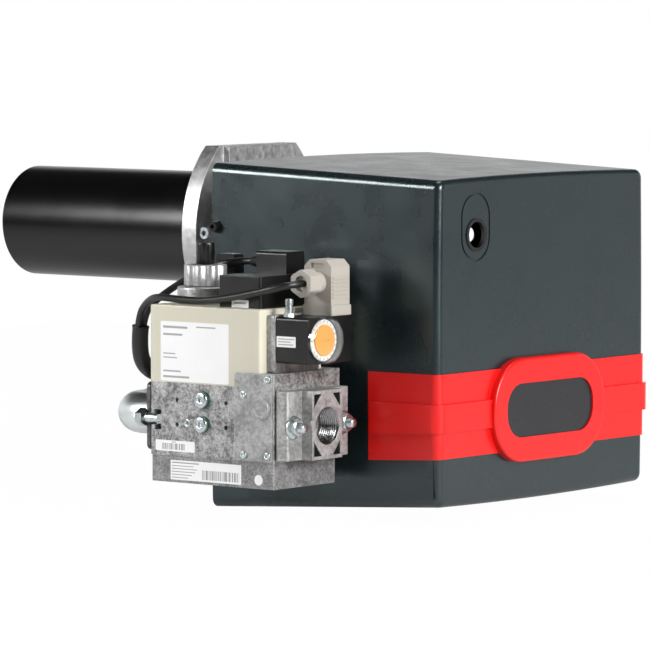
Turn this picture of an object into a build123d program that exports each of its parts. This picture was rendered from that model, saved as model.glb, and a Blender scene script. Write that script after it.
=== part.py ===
"""Industrial gas burner: one assembly of separate pieces, in millimetres, +Z up.

Origin: centre of the mounting flange's boiler face, on the blast tube's axis.
+X runs from the flame towards the closed rear of the hood, -Y is the gas train's side.
"""
from math import cos, pi, radians, sin, tan
import os

from build123d import *

# --- fits ---
running_fit = 0.05          # radial clearance of a turning or sliding shaft
free_gap = 0.3              # gap between pieces that move past each other

# --- mounting flange and blast tube ---
tube_radius = 52.5
tube_wall = 2.0
tube_reach = 259.0          # from the boiler face to the tube's mouth
tube_rim_radius = 1.9
flange_thickness = 17.0
flange_arc_radius = 108.0
flange_half_width = 91.5
flange_half_height = 79.5
platform_height = 6.0
platform_half_width = 51.0
collar_radius = 62.0
collar_height = 13.0        # collar around the tube, on the flange's rear
bolt_circle = 160.0
bolt_hole_radius = 4.5
clamp_screw_radius = 3.0
clamp_head_radius = 5.4
clamp_head_height = 6.0
clamp_head_end = 88.0       # from the tube's axis to the top of the screw's head

# --- neck casting between tube and fan ---
neck_gap = 1.0
neck_radius = 64.0
neck_inner_radius = 49.0
neck_collar_length = 31.0
neck_barrel_radius = 61.0
tube_seat_depth = 9.0
neck_foot_width = 124.0
neck_foot_thickness = 8.0
gas_port_x = 53.0
gas_port_radius = 21.0
gas_port_bottom = -90.0
neck_bolt_spacing = 104.0

# --- hood ---
hood_front = 97.2
hood_rear = 348.0
hood_front_half_width = 164.5
hood_rear_half_width = 156.0
hood_front_top = 69.2
hood_rear_top = 59.3
hood_front_bottom = -243.0
hood_rear_bottom = -228.6
hood_crown = 2.2            # rise of the top and bottom faces at mid width
hood_side_crown = 1.6
hood_corner_radius = 8.0
hood_rear_radius = 6.0
hood_wall = 3.0
hood_screw_x = 102.5
hood_screw_heights = (12.0, -186.0)
hood_slot_half_width = 3.4
air_slot_count = 9
air_slot_pitch = 16.0
air_slot_length = 84.0
air_slot_width = 5.0

# --- red band, ring and badge on the hood ---
band_bottom = -186.0
band_top = -111.0
band_drop = 4.0             # how much lower the band's lower edge is at its front end
band_rib_bottom = -162.4
band_rib_top = -137.5
band_front = 273.2
rib_setback = 3.0           # the rib starts this far behind the band's front end
band_thickness = 1.6
rib_thickness = 4.6
ring_z = -149.5
ring_length = 168.0
ring_height = 93.5
ring_corner_radius = 43.5
ring_thickness = 8.4
badge_length = 131.0
badge_height = 48.5
badge_corner_radius = 21.5
badge_depth = 1.6           # depth of the badge's face under the ring's face

# --- reset button in the hood's rear ---
reset_y = -102.0
reset_z = 10.0
reset_hole_radius = 14.0
reset_bezel_wall = 2.4
reset_button_radius = 6.5
reset_depth = 7.0           # button's face under the hood's rear face
reset_travel = 2.5
groove_y = -103.0
groove_z = 17.0
groove_width = 42.6
groove_height = 61.0
groove_line = 2.0
groove_depth = 1.0

# --- front plate, the chassis ---
plate_front = 110.0
plate_thickness = 3.0
plate_margin = 1.2          # gap between the plate's lip and the hood's inner face
lip_length = 11.5           # the lip runs forwards to the hood's opening
hood_screw_radius = 3.0
hood_screw_head_radius = 4.6
hood_screw_head_height = 4.0
hood_washer_radius = 5.6
hood_washer_thickness = 1.2

# --- fan ---
fan_x = 215.0
fan_z = -77.0
wheel_radius = 70.0
wheel_inner_radius = 57.0
wheel_width = 56.0
blade_count = 32
blade_thickness = 0.9
scroll_gap = 7.0
scroll_growth = 64.0        # how much the scroll's radius grows in one turn
scroll_half_width = 38.0
scroll_wall = 3.0
duct_bottom = -39.0
inlet_radius = 50.0
shaft_radius = 6.0
hub_radius = 14.0

# --- motor, capacitor, transformer ---
motor_radius = 52.0
motor_start = 41.0
motor_length = 84.0
motor_wall = 6.0
motor_fin_count = 18
motor_fin_depth = 3.0
motor_cover_length = 9.0
rotor_radius = 26.0
rotor_length = 44.0
capacitor_radius = 15.0
capacitor_length = 60.0
transformer_size = (58.0, 78.0, 62.0)
transformer_gap = 24.0      # from the volute's side to the transformer

# --- air box and damper ---
air_box_x = (158.0, 272.0)
air_box_depth = 58.0
air_box_z = (-136.0, -18.0)
air_box_wall = 2.0
inlet_ring_depth = 6.0
damper_z = -122.0
damper_margin = 1.0         # gap between the closed flap and the box
damper_thickness = 2.0
damper_shaft_radius = 3.0

# --- control box ---
control_x = (262.0, 326.0)
control_y = (-148.0, -60.0)
control_z = (-14.0, 50.0)
control_base_depth = 20.0
bracket_thickness = 2.0
bracket_z = (-8.0, 36.0)
bracket_foot_length = 42.0

# --- air pressure switch on the duct ---
air_switch_place = (146.0, 8.0)
air_switch_radius = 28.0
air_switch_depth = 14.0
air_switch_cover = 12.0

# --- firing head ---
head_pipe_radius = 11.0
head_pipe_wall = 1.6
head_elbow_x = 78.0
head_socket_radius = 15.0
head_travel = 15.0
nozzle_radius = 17.0
nozzle_length = 24.0
nozzle_hole_radius = 1.6
diffuser_x = -226.0
diffuser_radius = 43.0
diffuser_thickness = 1.5
diffuser_slot_count = 16
electrode_radius = 1.2
insulator_radius = 4.5
insulator_length = 70.0
insulator_pitch = 27.0

# --- gas train ---
train_y = -232.0
train_z = -154.0
valve_x = (116.0, 257.0)
valve_y = (-275.0, -182.0)
coil_y = (-275.0, -188.0)
base_cover_y = (-274.0, -186.0)
valve_bottom = -185.5
valve_top = -120.0
valve_step_x = 215.0
valve_step_top = -107.5
base_cover_bottom = -209.0
regulator_x = 215.0
regulator_proud = 2.6
regulator_screw_places = ((252.2, -112.2), (225.4, -126.4), (225.6, -179.4), (252.2, -179.0))
regulator_screw_radius = 3.4
regulator_cap_place = (245.6, -137.5)
regulator_cap_radius = 9.6
test_screw_places = ((177.6, -133.8), (177.2, -155.6))
test_screw_radius = 6.2
test_socket_place = (159.0, -155.6)
test_socket_radius = 3.6
plug_hole_x = (147.4, 203.4)
plug_hole_z = (-157.4, -135.5)
plug_hole_radius = 2.0
pad_places = ((188.0, -133.6), (188.0, -146.6), (159.8, -146.6))
pad_size = (6.2, 4.8)
pad_height = 0.6
spine_x = (208.7, 214.0)
spine_z = (-161.3, -131.0)
coil_right = 242.0
coil_top = -52.0
coil_edge_radius = 2.5
armature_radius = 9.0
armature_length = 34.0
armature_travel = 4.0
armature_x = (150.0, 200.0)

# inlet and outlet flanges
inlet_end = 283.0
inlet_half_width = 21.0
inlet_z = (-183.0, -122.5)
inlet_foot_thickness = 14.0
inlet_bore_radius = 16.6    # root of the thread for a 1 inch gas pipe
inlet_thread_length = 22.0
stud_radius = 4.5
stud_near = 32.5            # from the gas line to the outer stud
stud_far = 37.0             # from the gas line to the inner stud
stud_ear = 9.0
stud_end = 284.0
nut_flats = 14.0
nut_height = 7.0
nut_flange_radius = 10.3
nut_flange_height = 1.8
outlet_flange_x = (102.4, 106.6)
notch_wall = 5.0            # valve wall that the outlet bolts' nuts pull on
outlet_hub_radius = 25.0

# gas pipe
elbow_radius = 18.5
elbow_bend = 25.0
pipe_radius = 16.85
pipe_bore = 13.5
bead_radius = 21.0
bead_length = 8.0
pipe_x = gas_port_x

# hydraulic brake on the coil block
brake_x = 144.0
brake_y = -231.0
brake_radius = 25.0
brake_height = 15.0
knob_radius = 18.75
knob_height = 19.0
knob_flutes = 12
knob_flute_radius = 3.0
cap_radius = 8.2
cap_height = 20.0
spindle_radius = 5.0

# leak tester and its plug
tester_x = (187.0, 234.5)
tester_y = (-265.0, -188.0)
tester_top = -23.7
tester_plug_x = (190.0, 224.0)
tester_plug_y = (-216.0, -190.0)
tester_plug_top = -4.5
socket_x = (132.0, 154.0)
socket_y = (-202.0, -189.0)
socket_top = -9.5

# gas pressure switch
adapter_thickness = 9.5
switch_x = (251.5, 288.0)
switch_y = (-265.0, -204.0)
switch_z = (-98.7, -57.7)
cover_y = -245.0
cover_z = -78.0
cover_radius = 20.5
cover_depth = 8.0
dial_radius = 13.5
dial_thickness = 2.5
nipple_x = 261.0
nipple_y = -258.0
nipple_radius = 3.7
nipple_height = 15.7

# valve plug with its cable gland
plug_x = (254.0, 284.0)
plug_y = (-228.0, -202.0)
plug_base_height = 8.7
plug_top = -9.0
plug_rib_count = 6
gland_x = 269.0
gland_z = -29.0
gland_flats = 22.0
gland_length = 24.0

# cables
cable_radius = 3.2
sleeve_radius = 7.5
sleeve_wall = 0.9


# ---------- small helpers ----------
def block(x_span, y_span, z_span):
    """A box between two values on each axis."""
    spans = (x_span, y_span, z_span)
    size = [high - low for low, high in spans]
    centre = [(high + low) / 2 for low, high in spans]
    return Pos(*centre) * Box(*size)


def along_x(radius, x_span, y, z):
    """A cylinder along X."""
    return Pos(sum(x_span) / 2, y, z) * Rot(0, 90, 0) * Cylinder(radius, x_span[1] - x_span[0])


def along_y(radius, y_span, x, z):
    """A cylinder along Y."""
    return Pos(x, sum(y_span) / 2, z) * Rot(90, 0, 0) * Cylinder(radius, y_span[1] - y_span[0])


def along_z(radius, z_span, x, y):
    """A cylinder along Z."""
    return Pos(x, y, sum(z_span) / 2) * Cylinder(radius, z_span[1] - z_span[0])


def ring_x(outer, inner, x_span, y=0.0, z=0.0):
    """A round collar along X."""
    return along_x(outer, x_span, y, z) - along_x(inner, x_span, y, z)


def hexagon(flats, height):
    """A hexagonal prism along Z, standing on the origin."""
    return extrude(RegularPolygon(flats / 2, 6, major_radius=False), height)


def save(name, shape):
    """Write one node."""
    export_step(shape, f"parts/{name}.step")


def group(solids):
    """Separate solids in one node."""
    return Compound(children=list(solids))


# ---------- mounting flange ----------
def flange_outline(half_height):
    """Two arcs cut off flat at top and bottom, in the YZ plane."""
    offset_y = flange_arc_radius - flange_half_width
    lens = Pos(offset_y, 0) * Circle(flange_arc_radius) & Pos(-offset_y, 0) * Circle(flange_arc_radius)
    return lens & Rectangle(2 * flange_arc_radius, 2 * half_height)


def mounting_flange():
    face = flange_outline(flange_half_height)
    plate = extrude(Plane.YZ * face, flange_thickness)
    band = Rectangle(2 * platform_half_width, 2 * flange_half_height)
    platform = extrude(Plane.YZ.offset(flange_thickness) * band, platform_height, taper=12)
    collar_end = flange_thickness + collar_height
    collar = along_x(collar_radius, (flange_thickness, collar_end), 0, 0)
    body = plate + platform + collar
    body -= along_x(tube_radius + running_fit, (-1, collar_end + 1), 0, 0)
    for angle in (45, 135, 225, 315):
        y = bolt_circle / 2 * cos(radians(angle))
        z = bolt_circle / 2 * sin(radians(angle))
        body -= along_x(bolt_hole_radius, (-1, collar_end), y, z)
    body -= along_y(clamp_screw_radius, (-collar_radius - 1, 0), clamp_x(), 0)
    return body


def clamp_x():
    """The clamp screw sits in the middle of the collar."""
    return flange_thickness + collar_height / 2


def clamp_screw():
    head_start = clamp_head_end - clamp_head_height
    shank = along_y(clamp_screw_radius, (-head_start, -tube_radius - running_fit - 0.05), clamp_x(), 0)
    head = along_y(clamp_head_radius, (-clamp_head_end, -head_start), clamp_x(), 0)
    socket = Plane((clamp_x(), -clamp_head_end, 0), z_dir=(0, 1, 0)) * hexagon(5.0, 3.5)
    return shank + head - socket


# ---------- blast tube and neck ----------
def neck_start():
    return flange_thickness + collar_height + neck_gap


def blast_tube():
    end = neck_start() + tube_seat_depth
    tube = ring_x(tube_radius, tube_radius - tube_wall, (-tube_reach, end))
    rim = tube.edges().group_by(Axis.X)[0].sort_by(SortBy.LENGTH)[-1]
    return fillet(rim, tube_rim_radius)


def neck_casting():
    """Collar for the tube, a barrel to a square foot, and the gas port under it."""
    front = neck_start()
    foot_start = plate_front - neck_foot_thickness
    collar = along_x(neck_radius, (front, front + neck_collar_length), 0, 0)
    barrel = along_x(neck_barrel_radius, (front, foot_start + 1), 0, 0)
    foot_face = Plane.YZ.offset(foot_start) * RectangleRounded(neck_foot_width, neck_foot_width, 12)
    foot = extrude(foot_face, neck_foot_thickness)
    port = along_z(gas_port_radius, (gas_port_bottom, -neck_radius + 8), gas_port_x, 0)
    gallery = block((gas_port_x, foot_start + 2), (-gas_port_radius, gas_port_radius),
                    (gas_port_bottom + 8, -neck_radius + 8))
    body = collar + barrel + foot + port + gallery
    for side in (-1, 1):
        span = sorted((side * (neck_barrel_radius - 4), side * (neck_radius + 3)))
        body += block((front + 6, foot_start + 1), span, (-4, 4))
    body -= along_x(neck_inner_radius, (front - 1, plate_front + 1), 0, 0)
    body -= along_x(tube_radius, (front - 1, front + tube_seat_depth), 0, 0)
    body -= along_z(pipe_bore, (gas_port_bottom - 1, gas_port_bottom + 20), gas_port_x, 0)
    body -= neck_bolt_holes()
    return body


def neck_bolt_centres():
    half = neck_bolt_spacing / 2
    return [(y, z) for y in (-half, half) for z in (-half, half)]


def neck_bolt_holes():
    start = plate_front - neck_foot_thickness - 1
    end = plate_front + plate_thickness + 1
    return group(along_x(4.2, (start, end), y, z) for y, z in neck_bolt_centres())


def neck_bolts():
    """Four hexagon bolts with nuts that hold the neck on the front plate."""
    start = plate_front - neck_foot_thickness
    end = plate_front + plate_thickness
    bolts = []
    for y, z in neck_bolt_centres():
        head = Plane((start, y, z), z_dir=(-1, 0, 0)) * hexagon(13.0, 5.3)
        nut = Plane((end, y, z), z_dir=(1, 0, 0)) * hexagon(13.0, 6.5)
        bolts.append(head + nut + along_x(4.0, (start - 1, end + 9), y, z))
    return bolts


# ---------- hood ----------
def hood_section(x, grow):
    """The hood's outline at one X: four crowned sides, grown outwards by `grow`."""
    share = (x - hood_front) / (hood_rear - hood_front)
    half_width = hood_front_half_width + share * (hood_rear_half_width - hood_front_half_width) + grow
    top = hood_front_top + share * (hood_rear_top - hood_front_top) + grow
    bottom = hood_front_bottom + share * (hood_rear_bottom - hood_front_bottom) - grow
    middle = (top + bottom) / 2
    right_top = (half_width, top)
    left_top = (-half_width, top)
    left_bottom = (-half_width, bottom)
    right_bottom = (half_width, bottom)
    outline = Wire([
        ThreePointArc(left_top, (0, top + hood_crown), right_top).edge(),
        ThreePointArc(right_top, (half_width + hood_side_crown, middle), right_bottom).edge(),
        ThreePointArc(right_bottom, (0, bottom - hood_crown), left_bottom).edge(),
        ThreePointArc(left_bottom, (-half_width - hood_side_crown, middle), left_top).edge(),
    ])
    face = Face(outline)
    return Plane.YZ.offset(x) * fillet(face.vertices(), hood_corner_radius + grow)


def hood_solid(grow, start, end):
    """The hood's tapering form between two X values."""
    return loft([hood_section(start, grow), hood_section(end, grow)])


def stadium(width, height, radius):
    return RectangleRounded(width, height, radius)


def hood():
    outer = hood_solid(0, hood_front, hood_rear)
    outer = fillet(outer.faces().sort_by(Axis.X)[-1].edges(), hood_rear_radius)
    inner = hood_solid(-hood_wall, hood_front - 1, hood_rear - hood_wall)
    shell = outer - inner
    groove = stadium(groove_width, groove_height, groove_width / 2 - 0.1)
    groove -= stadium(groove_width - 2 * groove_line, groove_height - 2 * groove_line,
                      groove_width / 2 - groove_line - 0.1)
    shell -= extrude(Plane.YZ.offset(hood_rear - groove_depth) * Pos(groove_y, groove_z) * groove, 5)
    shell -= along_x(reset_hole_radius, (hood_rear - 10, hood_rear + 5), reset_y, reset_z)
    for height in hood_screw_heights:
        slot = block((hood_front - 5, hood_screw_x), (-200, 200),
                     (height - hood_slot_half_width, height + hood_slot_half_width))
        shell -= slot + along_y(hood_slot_half_width, (-200, 200), hood_screw_x, height)
    first = -(air_slot_count - 1) / 2 * air_slot_pitch
    middle = (hood_front + hood_rear) / 2
    for number in range(air_slot_count):
        y = first + number * air_slot_pitch
        shell -= block((middle - air_slot_length / 2, middle + air_slot_length / 2),
                       (y - air_slot_width / 2, y + air_slot_width / 2), (-260, hood_rear_bottom + 6))
    return shell


def band_layer(thickness, bottom, top, start):
    """A strip that wraps the hood's rear and both sides, a little taller towards its front ends."""
    outer = hood_solid(thickness, start, hood_rear + thickness)
    rear_edges = outer.faces().sort_by(Axis.X)[-1].edges()
    outer = fillet(rear_edges, hood_rear_radius + thickness)
    end = hood_rear + thickness
    side = Polygon((start, bottom - band_drop), (end, bottom), (end, top), (start, top), align=None)
    return outer & prism_y(side, (-200, 200))


def red_band():
    """Thin wide strip, thicker middle rib and the ring around the badge, in one moulding."""
    band = band_layer(band_thickness, band_bottom, band_top, band_front)
    band += band_layer(rib_thickness, band_rib_bottom, band_rib_top, band_front + rib_setback)
    face = Pos(0, ring_z) * stadium(ring_length, ring_height, ring_corner_radius)
    ring = extrude(Plane.YZ.offset(hood_rear - 1) * face, ring_thickness + 1)
    front_edges = ring.faces().sort_by(Axis.X)[-1].edges()
    ring = fillet(front_edges, 2.5)
    band += ring
    filled_hood = hood_solid(0, hood_front, hood_rear)
    band -= fillet(filled_hood.faces().sort_by(Axis.X)[-1].edges(), hood_rear_radius)
    window = Pos(0, ring_z) * stadium(badge_length, badge_height, badge_corner_radius)
    band -= extrude(Plane.YZ.offset(hood_rear + 1) * window, ring_thickness + 5)
    return band


def badge_panel():
    """Plain dark panel in the ring's window."""
    face = Pos(0, ring_z) * stadium(badge_length, badge_height, badge_corner_radius)
    return extrude(Plane.YZ.offset(hood_rear + 1) * face, ring_thickness - badge_depth - 1)


def reset_bezel():
    inner = reset_hole_radius - reset_bezel_wall
    bezel = ring_x(reset_hole_radius, inner, (hood_rear - hood_wall, hood_rear), reset_y, reset_z)
    return bezel + ring_x(reset_hole_radius + 0.8, inner, (hood_rear, hood_rear + 0.9), reset_y, reset_z)


# ---------- front plate ----------
def front_plate():
    """Pressed pan that closes the hood, with a lip for the hood's screws."""
    pan_outer = -hood_wall - plate_margin
    plate = hood_solid(pan_outer, plate_front - lip_length, plate_front + plate_thickness)
    plate -= hood_solid(pan_outer - plate_thickness, plate_front - lip_length - 1, plate_front)
    half = scroll_half_width - scroll_wall
    plate -= block((plate_front - 1, plate_front + plate_thickness + 1), (-half, half),
                   (duct_bottom + scroll_wall, duct_top() - scroll_wall))
    plate -= neck_bolt_holes()
    for height in hood_screw_heights:
        plate -= along_y(hood_screw_radius, (-200, 200), hood_screw_x, height)
    return plate


def hood_screws():
    """Socket screws with washers, two on each side of the hood."""
    screws = []
    for side in (-1, 1):
        for height in hood_screw_heights:
            share = (hood_screw_x - hood_front) / (hood_rear - hood_front)
            wall = hood_front_half_width + share * (hood_rear_half_width - hood_front_half_width)
            seat = wall + hood_side_crown + free_gap
            plane = Plane((hood_screw_x, side * seat, height), z_dir=(0, side, 0))
            washer = plane * Pos(0, 0, hood_washer_thickness / 2) * Cylinder(hood_washer_radius,
                                                                              hood_washer_thickness)
            head_middle = hood_washer_thickness + hood_screw_head_height / 2
            head = plane * Pos(0, 0, head_middle) * Cylinder(hood_screw_head_radius,
                                                              hood_screw_head_height)
            top = hood_washer_thickness + hood_screw_head_height
            socket = plane * Pos(0, 0, top - 2.4) * hexagon(4.0, 3.0)
            inner_end = wall - hood_wall - plate_margin - plate_thickness
            span = sorted((side * seat, side * inner_end))
            shank = along_y(hood_screw_radius, span, hood_screw_x, height)
            screws.append(washer + head - socket + shank)
    return group(screws)


# ---------- fan ----------
def scroll_radius(angle):
    """Scroll radius at an angle in degrees, from 150 at the tongue to 450 at the top."""
    return wheel_radius + scroll_gap + scroll_growth * (angle - 150) / 360


def duct_top():
    return fan_z + scroll_radius(450)


def scroll_face(inset):
    """The scroll's outline with its outlet duct, in the XZ plane, shrunk by `inset`."""
    angles = range(150, 451, 20)
    points = []
    for angle in angles:
        radius = scroll_radius(angle) - inset
        points.append((fan_x + radius * cos(radians(angle)), fan_z + radius * sin(radians(angle))))
    start = (plate_front + plate_thickness, duct_bottom + inset)
    tongue = points[0]
    roof_start = (plate_front + plate_thickness, points[-1][1])
    outline = Wire([
        Line(start, tongue).edge(),
        Spline(*points, tangents=((-0.5, -0.866), (-1, 0))).edge(),
        Line(points[-1], roof_start).edge(),
        Line(roof_start, start).edge(),
    ])
    return Face(outline)


def prism_y(face, y_span):
    """Extrude a face drawn in X and Z between two Y values."""
    plane = Plane((0, y_span[0], 0), x_dir=(1, 0, 0), z_dir=(0, -1, 0))
    return extrude(plane * face, -(y_span[1] - y_span[0]))


def fan_volute():
    """Scroll casing with its outlet on the front plate."""
    half = scroll_half_width
    casing = prism_y(scroll_face(0), (-half, half))
    hollow = prism_y(scroll_face(scroll_wall), (-half + scroll_wall, half - scroll_wall))
    mouth = block((plate_front + plate_thickness - 1, plate_front + plate_thickness + 6),
                  (-half + scroll_wall, half - scroll_wall),
                  (duct_bottom + scroll_wall, duct_top() - scroll_wall))
    casing -= hollow
    casing -= mouth
    casing -= along_y(inlet_radius, (-half - 1, -half + scroll_wall + 1), fan_x, fan_z)
    casing -= along_y(shaft_radius + 12, (half - scroll_wall - 1, half + 1), fan_x, fan_z)
    return casing


def inlet_ring():
    """Bell mouth between the air box and the wheel."""
    y_start = -scroll_half_width - inlet_ring_depth
    rim = along_y(inlet_radius + 8, (y_start, -scroll_half_width), fan_x, fan_z)
    throat = along_y(inlet_radius, (-scroll_half_width, -scroll_half_width + scroll_wall), fan_x, fan_z)
    bore = along_y(inlet_radius - 2, (y_start - 1, -scroll_half_width + scroll_wall + 1), fan_x, fan_z)
    ring = rim + throat - bore
    lip = ring.edges().filter_by(GeomType.CIRCLE).group_by(Axis.Y)[0].sort_by(SortBy.LENGTH)[0]
    return fillet(lip, 4.0)


def blade_face():
    """One forward-curved blade: an arc band from the inner to the outer radius of the wheel."""
    inner = (wheel_inner_radius, 0.0)
    outer_angle = radians(9)
    outer = (wheel_radius * cos(outer_angle), wheel_radius * sin(outer_angle))
    spine = SagittaArc(inner, outer, 3.6)
    return trace(spine, line_width=blade_thickness)


def fan_wheel():
    """Forward-curved wheel: back disc with hub, blades and a shroud ring."""
    half = wheel_width / 2
    disc = Pos(0, 0, -half + 1) * Cylinder(wheel_radius, 2)
    hub = Pos(0, 0, -half + 12) * Cylinder(hub_radius, 24)
    shroud = Pos(0, 0, half - 1) * (Cylinder(wheel_radius, 2) - Cylinder(wheel_inner_radius + 5, 2))
    blade = Pos(0, 0, -half + 1) * extrude(blade_face(), wheel_width - 2)
    blades = [Rot(0, 0, 360 / blade_count * number) * blade for number in range(blade_count)]
    rim_cut = Cylinder(wheel_radius + 5, wheel_width) - Cylinder(wheel_radius, wheel_width)
    wheel = Part() + [disc, hub, shroud] + blades
    wheel -= rim_cut
    wheel -= Cylinder(shaft_radius, wheel_width + 60)
    return Pos(fan_x, 0, fan_z) * Rot(90, 0, 0) * wheel


def motor_shaft():
    """Shaft with the laminated rotor pressed on it."""
    end = motor_start + motor_length + 4
    shaft = along_y(shaft_radius, (-wheel_width / 2, end), fan_x, fan_z)
    middle = motor_start + motor_length / 2
    span = (middle - rotor_length / 2, middle + rotor_length / 2)
    return shaft + along_y(rotor_radius, span, fan_x, fan_z)


def motor_housing():
    """Finned can with a flange on the volute."""
    start = scroll_half_width
    end = motor_start + motor_length
    can = along_y(motor_radius, (start, end), fan_x, fan_z)
    flange = along_y(motor_radius + 10, (start, motor_start), fan_x, fan_z)
    grooves = []
    for number in range(motor_fin_count):
        angle = 360 / motor_fin_count * number
        groove = Pos(motor_radius, 0, 0) * Box(2 * motor_fin_depth, 5, motor_length - 20)
        grooves.append(Pos(fan_x, (start + end) / 2 + 5, fan_z) * Rot(90, 0, 0) * Rot(0, 0, angle) * groove)
    housing = can - group(grooves) + flange
    housing -= along_y(motor_radius - motor_wall, (motor_start + 4, end + 1), fan_x, fan_z)
    housing -= along_y(shaft_radius + running_fit, (start - 1, motor_start + 5), fan_x, fan_z)
    return housing


def motor_cover():
    """Domed end cover with the rear bearing seat."""
    start = motor_start + motor_length
    cover = along_y(motor_radius, (start, start + motor_cover_length), fan_x, fan_z)
    rim = cover.edges().filter_by(GeomType.CIRCLE).group_by(Axis.Y)[-1]
    cover = fillet(rim, motor_cover_length - 3)
    return cover - along_y(shaft_radius + running_fit, (start - 1, start + 4.5), fan_x, fan_z)


def capacitor():
    """Capacitor lying on top of the motor, on its saddle."""
    z = fan_z + motor_radius + capacitor_radius + 3
    start = motor_start + 12
    can = along_y(capacitor_radius, (start, start + capacitor_length), fan_x, z)
    saddle = block((fan_x - 8, fan_x + 8), (start + 12, start + capacitor_length - 12),
                   (fan_z + motor_radius - 2, z - 4))
    return can + (saddle - along_y(motor_radius, (start, start + capacitor_length), fan_x, fan_z))


def ignition_transformer():
    length, width, height = transformer_size
    start = plate_front + plate_thickness
    bottom = duct_top() - height - 4
    y = scroll_half_width + transformer_gap
    case = block((start, start + length), (y, y + width), (bottom, bottom + height))
    case = fillet(case.edges().filter_by(Axis.X), 5)
    for side in (0.3, 0.7):
        case += along_x(7, (start + length, start + length + 12), y + width * side, bottom + height / 2)
    return case


# ---------- air box and damper ----------
def air_box_y():
    end = -scroll_half_width - inlet_ring_depth
    return (end - air_box_depth, end)


def damper_y():
    return sum(air_box_y()) / 2


def air_box():
    """Box over the fan's inlet, open at the bottom where the damper turns."""
    y_span = air_box_y()
    outer = block(air_box_x, y_span, air_box_z)
    outer = fillet(outer.edges().filter_by(Axis.X).group_by(Axis.Y)[0], 8)
    wall = air_box_wall
    hollow = block((air_box_x[0] + wall, air_box_x[1] - wall), (y_span[0] + wall, y_span[1] - wall),
                   (air_box_z[0] - 1, air_box_z[1] - wall))
    box = outer - hollow
    box -= along_y(inlet_radius - 2, (y_span[1] - wall - 1, y_span[1] + 1), fan_x, fan_z)
    bore = damper_shaft_radius + running_fit
    box -= along_x(bore, (air_box_x[0] - 1, air_box_x[1] + 1), damper_y(), damper_z)
    return box


def damper_flap():
    """Flap on its shaft, closed at rest."""
    inset = air_box_wall + damper_margin
    y = damper_y()
    flap = block((air_box_x[0] + inset, air_box_x[1] - inset), (air_box_y()[0] + inset, air_box_y()[1] - inset),
                 (damper_z - damper_thickness / 2, damper_z + damper_thickness / 2))
    shaft = along_x(damper_shaft_radius, (air_box_x[0] - 3, air_box_x[1] + 14), y, damper_z)
    return flap + shaft


def damper_lever():
    """Setting lever with its slot, clamped on the end of the damper shaft."""
    y = damper_y()
    start = air_box_x[1] + 4
    hub = along_x(8, (start, start + 8), y, damper_z)
    arm = block((start, start + 3), (y - 5, y + 5), (damper_z, damper_z + 34))
    arm -= block((start - 1, start + 4), (y - 2, y + 2), (damper_z + 16, damper_z + 29))
    return hub + arm - along_x(damper_shaft_radius, (start - 1, start + 20), y, damper_z)


# ---------- control box, reset button, air switch ----------
def control_box():
    """Burner control on its wider base, with the guide of the reset button."""
    cut = control_x[0] + control_base_depth
    body = block((cut, control_x[1]), control_y, control_z)
    body = fillet(body.edges().filter_by(Axis.X), 3)
    face = body.faces().sort_by(Axis.X)[-1]
    body = chamfer(face.edges(), 1.5)
    body += block((control_x[0], cut), (control_y[0] - 2, control_y[1] + 2), (control_z[0] - 2, control_z[1]))
    guide = along_x(reset_button_radius + 3, (control_x[1], control_x[1] + 6), reset_y, reset_z)
    bore = along_x(reset_button_radius + running_fit, (control_x[1] - 14, control_x[1] + 7),
                   reset_y, reset_z)
    return body + guide - bore


def control_bracket():
    """Angle from the volute's side to the control base."""
    wall_y = -scroll_half_width
    seat_x = control_x[0]
    plate = block((seat_x - bracket_thickness, seat_x), (control_y[0], wall_y), bracket_z)
    foot = block((seat_x - bracket_foot_length, seat_x), (wall_y - bracket_thickness, wall_y), bracket_z)
    return plate + foot


def reset_button():
    """Light button with a slightly hollow face."""
    end = hood_rear - reset_depth
    start = control_x[1] - 14 + reset_travel + 1
    button = along_x(reset_button_radius, (start, end), reset_y, reset_z)
    rim = button.edges().filter_by(GeomType.CIRCLE).group_by(Axis.X)[-1]
    return fillet(rim, 0.8)


def air_pressure_switch():
    """Round diaphragm switch on the side of the duct, with its cover and nipple."""
    x, z = air_switch_place
    radius = air_switch_radius
    wall_y = -scroll_half_width
    step_y = wall_y - air_switch_depth
    base = along_y(radius, (step_y, wall_y), x, z)
    cover = along_y(radius - 6, (step_y - air_switch_cover, step_y), x, z)
    nipple = along_z(3, (z - radius - 10, z - radius + 2), x, wall_y - air_switch_depth / 2)
    rim = cover.edges().filter_by(GeomType.CIRCLE).group_by(Axis.Y)[0]
    return fillet(rim, 3) + base + nipple


# ---------- firing head ----------
def head_elbow():
    """Gas elbow inside the neck, with the socket that guides the head pipe."""
    riser = along_z(head_socket_radius, (-neck_inner_radius + 3, 0), head_elbow_x, 0)
    knee = Pos(head_elbow_x, 0, 0) * Sphere(head_socket_radius)
    socket = along_x(head_socket_radius, (head_elbow_x - 34, head_elbow_x), 0, 0)
    foot = block((head_elbow_x - 15, head_elbow_x + 15), (-15, 15),
                 (-neck_inner_radius - 3, -neck_inner_radius + 5))
    foot &= along_x(neck_inner_radius, (head_elbow_x - 20, head_elbow_x + 20), 0, 0)
    body = riser + knee + socket + foot
    return body - along_x(head_pipe_radius + running_fit, (head_elbow_x - 35, head_elbow_x + 5), 0, 0)


def head_pipe():
    end = head_elbow_x + 4 - head_travel
    return ring_x(head_pipe_radius, head_pipe_radius - head_pipe_wall,
                  (diffuser_x + nozzle_length / 2, end))


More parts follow.
